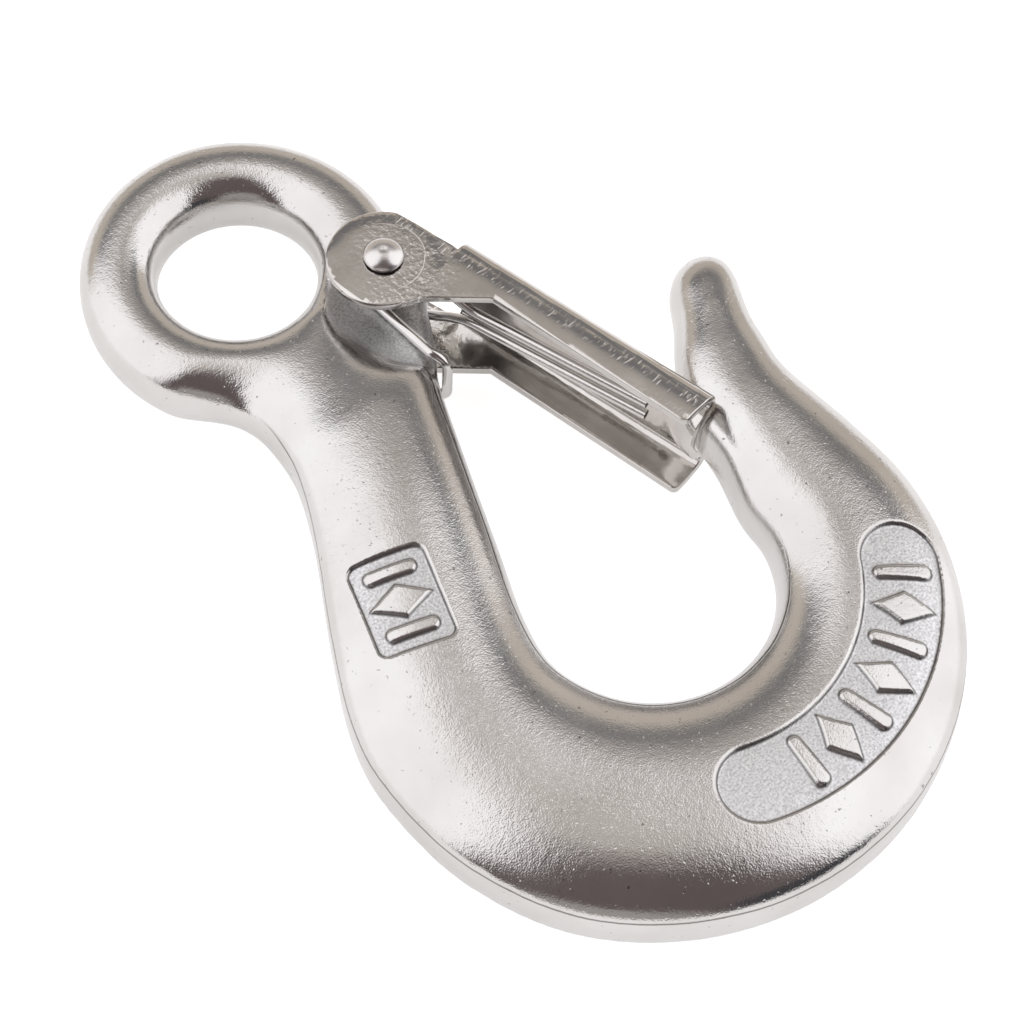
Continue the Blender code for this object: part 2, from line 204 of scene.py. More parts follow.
def skin(name, loops_of_points, closed):
    """A closed body through rings of points. An open row of rings gets two end caps."""
    build = bmesh.new()
    loops = [[build.verts.new(point) for point in ring] for ring in loops_of_points]
    spans = len(loops) if closed else len(loops) - 1
    for index in range(spans):
        near, far = loops[index], loops[(index + 1) % len(loops)]
        for k in range(len(near)):
            n = (k + 1) % len(near)
            build.faces.new((near[k], near[n], far[n], far[k]))
    if not closed:
        build.faces.new(loops[0][::-1])
        build.faces.new(loops[-1])
    bmesh.ops.recalc_face_normals(build, faces=build.faces)
    return set_down(name, build)


body = skin("cast_body", rings, closed=False)
print("bar faces:", len(body.data.polygons))

# %% [markdown]
# ## The eye, and the seat for the latch
#
# The eye is a ring of the same squared section, a little thinner than the bar. Below it both faces are cut
# back to a thin boss, so that the latch's two ears can straddle it, with a small notch for the spring and a
# bore for the rivet. One mesh could be modelled point by point, but Boolean modifiers follow the order of
# work of a workshop: join the metal first, cut the seat after.

# %% The eye ring
EYE_CENTRE, EYE_REACH, EYE_HALF = np.array((0.0, 54.2)), np.array((16.8, 17.3)), 4.2
HOLE_CENTRE, HOLE_RADIUS = np.array((-0.2, 54.9)), 8.3
eye_rings = []
for angle in np.linspace(0.0, 2.0 * math.pi, 120, endpoint=False):
    ray = np.array((math.cos(angle), math.sin(angle)))
    eye_rings.append(section(HOLE_CENTRE + HOLE_RADIUS * ray, EYE_CENTRE + EYE_REACH * ray, EYE_HALF))
eye = skin("eye_ring", eye_rings, closed=True)
print("eye hole in mm:", 2 * HOLE_RADIUS)


# %% Round tools for the boss, the seat and the bore
def round_bar(name, centre, radius, low, high, sides=96):
    """An upright cylinder between two heights of the drawing."""
    build = bmesh.new()
    stand = Matrix.Translation(place(centre[0], centre[1], (low + high) / 2))
    bmesh.ops.create_cone(build, cap_ends=True, segments=sides, radius1=radius * MM,
                          radius2=radius * MM, depth=(high - low) * MM, matrix=stand)
    return set_down(name, build)


BOSS_HALF, BOSS_RADIUS, BORE_RADIUS = 2.75, 4.6, 1.9
SEAT_CENTRE, SEAT_RADIUS = (8.2, 38.8), 8.4
NOTCH_CENTRE, NOTCH_RADIUS = (4.9, 31.0), 2.1
CLEAR = 9.0
boss = round_bar("boss", PIVOT, BOSS_RADIUS, -BOSS_HALF, BOSS_HALF)
cuts = []
for side, low, high in (("upper", BOSS_HALF, CLEAR), ("lower", -CLEAR, -BOSS_HALF)):
    cuts.append(round_bar(side + "_seat", SEAT_CENTRE, SEAT_RADIUS, low, high))
    cuts.append(round_bar(side + "_notch", NOTCH_CENTRE, NOTCH_RADIUS, low, high))
cuts.append(round_bar("rivet_bore", PIVOT, BORE_RADIUS, -CLEAR, CLEAR, 48))
print("round tools for cutting:", len(cuts))


# %% Join and cut
def work_with(piece, tool, operation):
    """Adds a Boolean modifier: UNION joins the tool, DIFFERENCE cuts it away."""
    work = piece.modifiers.new(tool.name, "BOOLEAN")
    work.operation = operation
    work.solver = "EXACT"
    work.object = tool


for tool in (eye, boss):
    work_with(body, tool, "UNION")
for tool in cuts:
    work_with(body, tool, "DIFFERENCE")
print("steps of joining and cutting:", len(body.modifiers))

# %% [markdown]
# ## Cast blends
#
# A casting has a generous fillet wherever two shapes meet, and drawing those fillets by hand would be slow.
# A voxel remesh turns the joined body into one even skin of small squares. Then every point is moved toward
# the mean of its neighbours: a few passes take off the saw marks of the voxels, and many passes near the
# neck of the eye melt the joint into a fillet. The tip gets some more too, and the flat bed of the latch's
# seat only the few.

# %% An even skin
even = body.modifiers.new("even_skin", "REMESH")
even.mode = "VOXEL"
even.voxel_size = 0.48 * MM


def finished_mesh(piece):
    """The mesh that an object has once its modifiers or its curve are worked out."""
    graph = bpy.context.evaluated_depsgraph_get()
    graph.update()
    return bpy.data.meshes.new_from_object(piece.evaluated_get(graph))


def apply_modifiers(piece):
    done = finished_mesh(piece)
    piece.modifiers.clear()
    piece.data = done


apply_modifiers(body)
for tool in [eye, boss, *cuts]:
    bpy.data.objects.remove(tool, do_unlink=True)
print("body after the remesh:", len(body.data.vertices), "points")


# %% Points in and out of a mesh
def points_of(mesh):
    flat = np.empty(len(mesh.vertices) * 3)
    mesh.vertices.foreach_get("co", flat)
    return flat.reshape(-1, 3)


def move_points(mesh, points):
    mesh.vertices.foreach_set("co", points.reshape(-1))
    mesh.update()


def in_drawing(points):
    """Scene metres back to drawing millimetres."""
    return (points - np.array(DRAWING_ZERO)) / MM


top_of_body = in_drawing(points_of(body.data))[:, 2].max()
print("highest point above the mid-plane in mm:", round(float(top_of_body), 2))


# %% Two smoothing helpers
def relax(mesh, strength, passes):
    """Moves each point toward the mean of its neighbours; strength is from 0 to 1 for each point."""
    ends = np.empty(len(mesh.edges) * 2, int)
    mesh.edges.foreach_get("vertices", ends)
    a, b = ends.reshape(-1, 2).T
    count = len(mesh.vertices)
    near = np.bincount(a, minlength=count) + np.bincount(b, minlength=count)
    points = points_of(mesh)
    pull = strength[:, None]
    for _ in range(passes):
        total = np.stack([np.bincount(a, points[b, k], count) + np.bincount(b, points[a, k], count)
                          for k in range(3)], 1)
        points = points + (total / near[:, None] - points) * pull
    move_points(mesh, points)


def ramp(value, low, high):
    """0 below low, 1 above high, smooth between. Works the other way round too."""
    share = np.clip((value - low) / (high - low), 0.0, 1.0)
    return share * share * (3.0 - 2.0 * share)


print("halfway up a ramp:", float(ramp(0.5, 0.0, 1.0)))

# %% Melt the joint of eye and shank, round the tip, then smooth everywhere
NECK_PASSES, TIP_PASSES, SKIN_PASSES = 110, 34, 10
x, y, z = in_drawing(points_of(body.data)).T
from_eye = np.hypot(x - EYE_CENTRE[0], y - EYE_CENTRE[1])
at_neck = ramp(np.abs(from_eye - 17.0), 6.0, 2.0) * ramp(y, 50.0, 45.0) * ramp(x, 3.0, -1.0)
relax(body.data, 0.6 * at_neck, NECK_PASSES)
tip_x, tip_y = (bar[-1][0:2] + bar[-1][2:4]) / 2
relax(body.data, 0.5 * ramp(np.hypot(x - tip_x, y - tip_y), 9.0, 5.0), TIP_PASSES)
relax(body.data, np.full(len(x), 0.5), SKIN_PASSES)
print("points melted at the neck:", int((at_neck > 0.5).sum()))

# %% [markdown]
# ## Two marking pockets
#
# Makers sink shallow pockets into the upper face and leave raised marks in them. Here the marks carry no
# words: short bars and lozenges, like the beads on a moulding. Cutting them would leave hard straight walls,
# so they are pressed into the skin instead: its squares are made four times finer there, and each point
# goes down by an amount that depends on its distance to the pocket's outline. The walls slope a little
# and the floors follow the face.

# %% Distances to plain outlines, in the drawing
def box_distance(u, v, half_u, half_v, corner):
    """Signed distance to a rounded rectangle about zero; negative inside."""
    away_u = np.abs(u) - half_u + corner
    away_v = np.abs(v) - half_v + corner
    outside = np.hypot(np.maximum(away_u, 0.0), np.maximum(away_v, 0.0))
    return outside + np.minimum(np.maximum(away_u, away_v), 0.0) - corner


def lozenge_distance(u, v, half_u, half_v, corner):
    """Signed distance to a lozenge with softened points."""
    reach_u, reach_v = half_u - corner, half_v - corner
    slope = math.hypot(reach_u, reach_v)
    return (np.abs(u) * reach_v + np.abs(v) * reach_u - reach_u * reach_v) / slope - corner


print("1 mm outside a box:", float(box_distance(3.0, 0.0, 2.0, 2.0, 0.5)))

# %% The square pocket: two bars and a lozenge
SQUARE_CENTRE, SQUARE_TURN = (-19.7, 15.4), math.radians(-29.0)


def square_pocket(x, y):
    """Distances to the outline and to the nearest raised mark."""
    c, s = math.cos(SQUARE_TURN), math.sin(SQUARE_TURN)
    dx, dy = x - SQUARE_CENTRE[0], y - SQUARE_CENTRE[1]
    u, v = dx * c + dy * s, -dx * s + dy * c
    outline = box_distance(u, v, 4.1, 5.5, 1.2)
    bars = np.minimum(box_distance(u, v - 3.3, 2.6, 0.62, 0.55), box_distance(u, v + 3.3, 2.6, 0.62, 0.55))
    return outline, np.minimum(bars, lozenge_distance(u, v, 2.7, 1.7, 0.3))


print("the middle lies inside by, in mm:", round(-float(square_pocket(*SQUARE_CENTRE)[0]), 2))

# %% The curved pocket: bars and lozenges in turn
SLOT_CENTRE, SLOT_RADIUS, SLOT_HALF = (-1.2, -2.4), 23.2, 4.1
SLOT_FROM, SLOT_TO = -119.5, -43.0
MARK_FROM, MARK_TO, MARKS = -106.0, -47.0, 7


def curved_pocket(x, y):
    """Distances to the outline and to the nearest raised mark."""
    dx, dy = x - SLOT_CENTRE[0], y - SLOT_CENTRE[1]
    radius, angle = np.hypot(dx, dy), np.degrees(np.arctan2(dy, dx))
    outline = np.abs(radius - SLOT_RADIUS)
    for end, beyond in ((SLOT_FROM, angle < SLOT_FROM), (SLOT_TO, angle > SLOT_TO)):
        end_x = SLOT_RADIUS * math.cos(math.radians(end))
        end_y = SLOT_RADIUS * math.sin(math.radians(end))
        outline = np.where(beyond, np.hypot(dx - end_x, dy - end_y), outline)
    mark = np.full(x.shape, 99.0)
    for number, at in enumerate(np.linspace(MARK_FROM, MARK_TO, MARKS)):
        across = np.radians(angle - at) * SLOT_RADIUS
        if number % 2 == 0:
            mark = np.minimum(mark, box_distance(radius - SLOT_RADIUS, across, 2.8, 0.65, 0.6))
        else:
            mark = np.minimum(mark, lozenge_distance(radius - SLOT_RADIUS, across, 2.6, 1.6, 0.3))
    return outline - SLOT_HALF, mark


slot_length = math.radians(SLOT_TO - SLOT_FROM) * SLOT_RADIUS + 2 * SLOT_HALF
print("curved pocket length in mm:", round(slot_length, 1))

# %% A finer skin where the pockets go
build = bmesh.new()
build.from_mesh(body.data)
build.normal_update()
centres = in_drawing(np.array([f.calc_center_median() for f in build.faces]))
upward = np.array([f.normal.z for f in build.faces])
inside = np.minimum(square_pocket(*centres.T[:2])[0], curved_pocket(*centres.T[:2])[0]) < 0.7
build.faces.ensure_lookup_table()
fine_faces = [build.faces[k] for k in np.flatnonzero(inside & (upward > 0.2) & (centres[:, 2] > 0.0))]
fine_edges = {edge for face in fine_faces for edge in face.edges}
bmesh.ops.subdivide_edges(build, edges=list(fine_edges), cuts=3, use_grid_fill=True)
build.to_mesh(body.data)
build.free()
print("faces made finer:", len(fine_faces), "body points now:", len(body.data.vertices))

# %% Smooth the finer skin, then press the pockets in
x, y, z = in_drawing(points_of(body.data)).T
square_edge, square_mark = square_pocket(x, y)
curved_edge, curved_mark = curved_pocket(x, y)
edge = np.minimum(square_edge, curved_edge)
mark = np.minimum(square_mark, curved_mark)
on_top = ramp(z, 0.5, 1.5)
relax(body.data, 0.5 * ramp(edge, 0.6, 0.3) * on_top, 14)
POCKET_DEPTH = 0.45
sunk = ramp(edge, 0.0, -0.38) * (1.0 - ramp(mark, 0.28, -0.10)) * on_top
points = points_of(body.data)
points[:, 2] -= sunk * POCKET_DEPTH * MM
move_points(body.data, points)
relax(body.data, 0.35 * ramp(edge, 0.3, 0.1) * on_top, 2)
print("pocket depth in mm:", POCKET_DEPTH)

# %% Remember where the floors, the corners that get painted shade and the latch's seat are
def remember(mesh, name, values):
    """Stores one number for each point, for a material to read."""
    layer = mesh.attributes.new(name, "FLOAT", "POINT")
    layer.data.foreach_set("value", values.astype(np.float32))


x, y, z = in_drawing(points_of(body.data)).T
remember(body.data, "pocket_floor", sunk)
# The feet of the pocket walls and of the raised marks get a near-black painted shade in the material.
foot_of_wall = np.exp(-((edge + 0.24) / 0.1) ** 2)
foot_of_mark = 0.9 * np.exp(-((mark - 0.14) / 0.1) ** 2) * ramp(edge, 0.0, -0.3)
remember(body.data, "pocket_crease_shade", np.clip(foot_of_wall + foot_of_mark, 0.0, 1.0) * on_top)
from_seat = np.hypot(x - SEAT_CENTRE[0], y - SEAT_CENTRE[1])
in_seat = ramp(from_seat, SEAT_RADIUS + 0.2, SEAT_RADIUS - 0.5)
in_seat = in_seat * ramp(np.abs(z), BOSS_HALF + 0.9, BOSS_HALF + 0.3)
remember(body.data, "latch_seat", in_seat)
print("points in the seat:", int((in_seat > 0.5).sum()))

# %% Remember where the mould line runs
# It lies at the land's height on the outer side of the bar, and higher on the throat side.
THROAT_LINE = 3.2
middles, reaches = (bar[:, 0:2] + bar[:, 2:4]) / 2, (bar[:, 2:4] - bar[:, 0:2]) / 2
nearest = np.array([np.argmin((middles[:, 0] - px) ** 2 + (middles[:, 1] - py) ** 2)
                    for px, py in zip(x, y)])
from_middle = np.stack([x, y], 1) - middles[nearest]
side_of_bar = (from_middle * reaches[nearest]).sum(1)
remember(body.data, "line_height", np.where(side_of_bar > 0.0, LAND, THROAT_LINE) * MM)
line_here = ramp(y, 42.0, 36.0) * ramp(from_seat, SEAT_RADIUS - 0.5, SEAT_RADIUS + 0.5)
remember(body.data, "line_here", line_here * np.where(side_of_bar > 0.0, 0.8, ramp(x, 12.0, 4.0)))
print("points on the outer side:", int((side_of_bar > 0.0).sum()))

# %% Hand the body over
body.data.shade_smooth()
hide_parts("hook_body")
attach(body, "hook")
print("body faces:", len(body.data.polygons))

# %% [markdown]
# ## The latch: one piece of folded sheet
#
# The latch is a blank of 1 mm sheet folded into a channel, with a round ear on each side for the rivet. A
# flat blank could be bent with modifiers, but the channel's section hardly changes, so it is skinned from
# rings like the body: each ring is the channel's outline at one height. Only three things change along it:
# the flanges' open edge slants, the web is pressed in at the end so that it cups the tip, and the corners
# of the flanges are rounded off.

# %% Sizes of the latch, from the pivot
SHEET = 1.0
LATCH_HALF = 7.2
BEND = 1.8
WEB_TOP, WEB_END = (7.75, -4.9), (9.9, -35.6)
KINK, LIP_END, LIP_CORNER = (3.5, -11.7), (4.7, -35.6), 0.7
PRESSED_FROM, PRESSED_BY = -29.0, 2.7
print("latch width over the flanges in mm:", 2 * LATCH_HALF)


# %% Web, lip and seat at any height
def web_at(y):
    return WEB_TOP[0] + (WEB_END[0] - WEB_TOP[0]) * (y - WEB_TOP[1]) / (WEB_END[1] - WEB_TOP[1])


def lip_at(y):
    if y > KINK[1]:
        return KINK[0]
    edge = KINK[0] + (LIP_END[0] - KINK[0]) * (y - KINK[1]) / (LIP_END[1] - KINK[1])
    left = y - LIP_END[1]
    if left < LIP_CORNER:
        edge += LIP_CORNER - math.sqrt(LIP_CORNER ** 2 - (LIP_CORNER - left) ** 2)
    return edge


def pressed_in(y, z):
    """How far the web is pushed in; it is deepest in the middle of the free end."""
    return PRESSED_BY * float(ramp(y, PRESSED_FROM, WEB_END[1])) * max(0.0, 1.0 - (z / 5.0) ** 2)


print("pressed in at the end by, in mm:", pressed_in(WEB_END[1], 0.0))


# %% One ring of the channel
def channel_side(y, inset):
    """Half of the outline, from the middle of the web round the bend to the lip."""
    face, flange, radius = web_at(y) - inset, LATCH_HALF - inset, BEND - inset * 0.8
    line = [(face - pressed_in(y, z), z) for z in np.linspace(0.0, flange - radius, 14)[:-1]]
    for angle in np.radians(np.linspace(0.0, 90.0, 10)):
        line.append((face - radius + radius * math.cos(angle), flange - radius + radius * math.sin(angle)))
    return line + [(x, flange) for x in np.linspace(face - radius, lip_at(y), 14)[1:]]


channel_rings = []
heights = list(np.linspace(WEB_TOP[1], PRESSED_FROM, 40))
heights += list(np.linspace(PRESSED_FROM, LIP_END[1] + LIP_CORNER, 18)[1:])
heights += [LIP_END[1] + LIP_CORNER * (1.0 - math.sin(math.radians(a))) for a in range(10, 90, 10)]
for y in heights:
    outer, inner = channel_side(y, 0.0), channel_side(y, SHEET)
    upper = outer + inner[::-1]
    lower = [(x, -z) for x, z in inner[1:]] + [(x, -z) for x, z in outer[:0:-1]]
    channel_rings.append([place(PIVOT[0] + x, PIVOT[1] + y, z) for x, z in upper + lower])
latch = skin("folded_latch", channel_rings, closed=False)
print("channel rings:", len(channel_rings))


# %% The ears
def arc(radius, start, end, steps):
    return [(radius * math.cos(a), radius * math.sin(a)) for a in np.radians(np.linspace(start, end, steps))]


def cut_sheet(name, outline, low, high):
    """A flat blank: a filled outline given a thickness."""
    curve = bpy.data.curves.new(name, "CURVE")
    curve.dimensions = "2D"
    curve.fill_mode = "BOTH"
    curve.extrude = (high - low) / 2 * MM
    spline = curve.splines.new("POLY")
    spline.points.add(len(outline) - 1)
    level = place(0.0, 0.0, (low + high) / 2).z
    for point, (x, y) in zip(spline.points, outline):
        spot = place(PIVOT[0] + x, PIVOT[1] + y)
        point.co = (spot.x, spot.y, 0.0, 1.0)
    spline.use_cyclic_u = True
    source = bpy.data.objects.new(name, curve)
    source.location.z = level
    bpy.context.scene.collection.objects.link(source)
    mesh = finished_mesh(source)
    mesh.transform(source.matrix_world)
    bpy.data.objects.remove(source, do_unlink=True)
    build = bmesh.new()
    build.from_mesh(mesh)
    bmesh.ops.remove_doubles(build, verts=build.verts, dist=0.002 * MM)
    bmesh.ops.recalc_face_normals(build, faces=build.faces)
    return set_down(name, build)


EAR_RADIUS, EAR_BORE = 5.9, 1.8
foot = KINK[1] - 0.8
brow = web_at(WEB_TOP[1]) - BEND
ear_outline = [(web_at(foot) - BEND, foot), (brow, WEB_TOP[1]), (brow, WEB_TOP[1] + 0.7)]
ear_outline += arc(EAR_RADIUS, 28.0, 244.0, 90)
ear_outline += [(-2.0, -5.7), (-1.3, -6.1), (-0.6, -6.75), KINK, (lip_at(foot), foot)]
ears = [cut_sheet("upper_ear", ear_outline, LATCH_HALF - SHEET, LATCH_HALF),
        cut_sheet("lower_ear", ear_outline, -LATCH_HALF, -LATCH_HALF + SHEET)]
ear_bore = round_bar("ear_bore", PIVOT, EAR_BORE, -CLEAR, CLEAR, 64)
print("points in an ear's outline:", len(ear_outline))

# %% Join the ears to the channel and drill them
for ear in ears:
    work_with(latch, ear, "UNION")
work_with(latch, ear_bore, "DIFFERENCE")
apply_modifiers(latch)
for tool in [*ears, ear_bore]:
    bpy.data.objects.remove(tool, do_unlink=True)
print("faces of the drilled latch:", len(latch.data.polygons))

# %% Ease the cut edges
# The joining leaves slivers that would spoil the bevel, so they are dissolved before it.
weld = bmesh.new()
weld.from_mesh(latch.data)
bmesh.ops.remove_doubles(weld, verts=weld.verts, dist=0.03 * MM)
bmesh.ops.dissolve_limit(weld, angle_limit=math.radians(0.5), verts=weld.verts, edges=weld.edges)
weld.to_mesh(latch.data)
weld.free()
ease = latch.modifiers.new("eased_edges", "BEVEL")
ease.width = 0.12 * MM
ease.segments = 2
ease.limit_method = "ANGLE"
ease.angle_limit = math.radians(50.0)
ease.use_clamp_overlap = False
apply_modifiers(latch)
print("latch points after easing:", len(latch.data.vertices))

# %% Roll the edges of the blank over
# The press rolls the outer edge of the sheet down a little. A bowed face also shades more like real sheet.
# The flat faces are cut into a grid of half millimetres first, so there is something to bow.
ROLL_REACH, ROLL_CURVE, GRID = 2.2, 0.06, 0.5
EAR_FLAT, WEB_ONLY, FLANGE_FROM = 3.9, 3.5, 5.6
grid = bmesh.new()
grid.from_mesh(latch.data)
for step in np.arange(-6.9, 12.0, GRID):
    bmesh.ops.bisect_plane(grid, geom=grid.verts[:] + grid.edges[:] + grid.faces[:], dist=1e-7,
                           plane_co=place(PIVOT[0] + step, 0.0, 0.0), plane_no=(1, 0, 0))
for step in np.arange(-36.9, 7.0, GRID):
    bmesh.ops.bisect_plane(grid, geom=grid.verts[:] + grid.edges[:] + grid.faces[:], dist=1e-7,
                           plane_co=place(0.0, PIVOT[1] + step, 0.0), plane_no=(0, 1, 0))
grid.to_mesh(latch.data)
grid.free()
points = points_of(latch.data)
x, y, z = in_drawing(points).T
x, y = x - PIVOT[0], y - PIVOT[1]
near_web = x - web_at(np.clip(y, WEB_END[1], WEB_TOP[1])) + BEND + ROLL_REACH
turned_to_web = ramp(np.cos(np.arctan2(y, x) - 0.5), -0.3, 0.3)
near_rim = (np.hypot(x, y) - EAR_FLAT) * turned_to_web
roll = np.clip(np.where(y > WEB_TOP[1], near_rim, near_web), 0.0, ROLL_REACH)
on_flange = np.sign(z) * ramp(np.abs(z), WEB_ONLY, FLANGE_FROM)
points[:, 2] -= on_flange * ROLL_CURVE * roll ** 2 * MM
move_points(latch.data, points)
print("edge rolled over by, in mm:", round(float(ROLL_CURVE * roll.max() ** 2), 2))

# %% Hand the latch over
latch.data.shade_smooth()
latch.data.set_sharp_from_angle(angle=math.radians(40.0))
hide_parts("latch")
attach(latch, "latch")
print("latch points:", len(latch.data.vertices))

# %% [markdown]
# ## The rivet and the spring
#
# The rivet is turned: half of its outline is drawn once and spun about the pivot. Its heads were set with
# a pointed punch, so each dome has a faint dimple. The spring is one wire: its middle is a bight that bears
# on the throat side of the shank, each half winds round one side of the boss, and the two ends are arms
# that lie inside the channel. A curve with a round bevel is exactly that. The bight stays with the hook and
# the arms swing with the latch; here the wire is baked in place, on neither body.

# %% The turned rivet
def spin(name, profile, sides):
    """Turns a half outline, from top to bottom, about the pivot."""
    build = bmesh.new()
    rows = []
    for radius, z in profile:
        if radius == 0.0:
            rows.append([build.verts.new(place(*PIVOT, z))])
            continue
        angles = np.linspace(0.0, 2.0 * math.pi, sides, endpoint=False)
        round_row = [(PIVOT[0] + radius * math.cos(a), PIVOT[1] + radius * math.sin(a)) for a in angles]
        rows.append([build.verts.new(place(x, y, z)) for x, y in round_row])
    for upper, lower in zip(rows, rows[1:]):
        for k in range(sides):
            n = (k + 1) % sides
            if len(upper) == 1:
                build.faces.new((upper[0], lower[k], lower[n]))
            elif len(lower) == 1:
                build.faces.new((upper[k], lower[0], upper[n]))
            else:
                build.faces.new((upper[k], lower[k], lower[n], upper[n]))
    bmesh.ops.recalc_face_normals(build, faces=build.faces)
    return set_down(name, build)


HEAD, HEAD_UNDER, DOME, SHAFT = 2.1, 7.5, 1.1, 1.5
DIMPLE_DEPTH, DIMPLE_RADIUS = 0.1, 0.4
dome = []
for radius in np.linspace(0.0, 1.95, 22):
    dimple = DIMPLE_DEPTH * math.exp(-(radius / DIMPLE_RADIUS) ** 2)
    rise = DOME * math.sqrt(1.0 - (radius / HEAD) ** 2) - dimple
    dome.append((float(radius), HEAD_UNDER + rise))
dome[0] = (0.0, dome[0][1])
rim = [(2.04, 0.27), (2.09, 0.14), (HEAD, 0.06), (2.06, 0.0), (SHAFT, 0.0)]
dome += [(radius, HEAD_UNDER + rise) for radius, rise in rim]
rivet = spin("domed_rivet", dome + [(r, -z) for r, z in reversed(dome)], 72)
rivet.data.shade_smooth()
rivet.data.set_sharp_from_angle(angle=math.radians(50.0))
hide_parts("latch_rivet")
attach(rivet, "latch")
print("rivet head in mm:", 2 * HEAD)

# %% The path of half the spring
COIL, WIRE = 2.8, 0.55
FOOT, NOSE, ARM_END = (4.55, 32.6), (4.95, 30.6), (15.6, 12.9, 1.1)
COIL_LOW, COIL_HIGH, NOSE_BEND, TUCKED_BY = 3.6, 5.35, 1.6, 0.32


def touching_angle(x, y, side):
    """Where a line from a point touches the coil; side is 1 on the left and -1 on the right."""
    dx, dy = x - PIVOT[0], y - PIVOT[1]
    return math.atan2(dy, dx) - side * math.acos(COIL / math.hypot(dx, dy))


start = touching_angle(*FOOT, 1.0)
finish = touching_angle(ARM_END[0], ARM_END[1], -1.0)
wound = (start - finish) % (2.0 * math.pi) + 2.0 * math.pi
half_path = [(*NOSE, z) for z in np.linspace(0.0, COIL_LOW - NOSE_BEND, 6)]
for share in np.linspace(0.0, 1.0, 12)[1:]:
    half_path.append((NOSE[0] + (FOOT[0] - NOSE[0]) * share ** 2, NOSE[1] + (FOOT[1] - NOSE[1]) * share ** 2,
                      COIL_LOW - NOSE_BEND + NOSE_BEND * math.sin(math.pi / 2 * share)))
for share in np.linspace(0.0, 1.0, 110):
    angle = start - wound * share
    half_path.append((PIVOT[0] + COIL * math.cos(angle), PIVOT[1] + COIL * math.sin(angle),
                      COIL_LOW + (COIL_HIGH - COIL_LOW) * share))
coil_end = half_path[-1]
for share in np.linspace(0.0, 1.0, 40)[1:]:
    tuck = float(ramp(share, 0.0, TUCKED_BY))
    half_path.append((coil_end[0] + (ARM_END[0] - coil_end[0]) * share,
                      coil_end[1] + (ARM_END[1] - coil_end[1]) * share,
                      coil_end[2] + (ARM_END[2] - coil_end[2]) * tuck))
print("turns on each side:", round(wound / (2 * math.pi), 2))

# %% Bend the wire
wire_curve = bpy.data.curves.new("spring_wire", "CURVE")
wire_curve.dimensions = "3D"
wire_curve.bevel_depth = WIRE * MM
wire_curve.bevel_resolution = 6
wire_curve.use_fill_caps = True
path = [(x, y, -z) for x, y, z in half_path[:0:-1]] + half_path
spline = wire_curve.splines.new("POLY")
spline.points.add(len(path) - 1)
for point, spot in zip(spline.points, path):
    point.co = (*place(*spot), 1.0)
wire_source = bpy.data.objects.new("spring_wire_path", wire_curve)
bpy.context.scene.collection.objects.link(wire_source)
build = bmesh.new()
build.from_mesh(finished_mesh(wire_source))
bpy.data.objects.remove(wire_source, do_unlink=True)
bmesh.ops.remove_doubles(build, verts=build.verts, dist=0.001 * MM)
bmesh.ops.recalc_face_normals(build, faces=build.faces)
spring = set_down("spring_wire", build)
spring.data.shade_smooth()
spring.data.set_sharp_from_angle(angle=math.radians(50.0))
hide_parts("latch_spring")
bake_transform(spring)
print("wire length in mm:", round(sum(math.dist(a, b) for a, b in zip(path, path[1:]))))

# %% [markdown]
# ## Cast and tumbled stainless
#
# After casting, the body was tumbled with stones until it shone. The metal mirrors the studio, but the
# skin still has a fine grain like orange peel, so bright and dark areas break up at their borders.
# The colour is a warm grey with faint cloudy patches. The pockets and the latch's seat were out of reach of
# the stones: they stay grey and rough, and the corners of the pockets get a near-black painted shade. A hair
# line runs along the land, where the flash was ground away. The marks could be painted on an image, but
# nodes that read the place on the object, and the numbers stored in the mesh, stay sharp at any size.

# %% Cast steel
def lay_out(tree, columns):
    """Puts nodes in tidy columns, left to right."""
    for column, nodes in enumerate(columns):
        for row, node in enumerate(nodes):
            node.location = (column * 230 - 1600, 500 - row * 260)


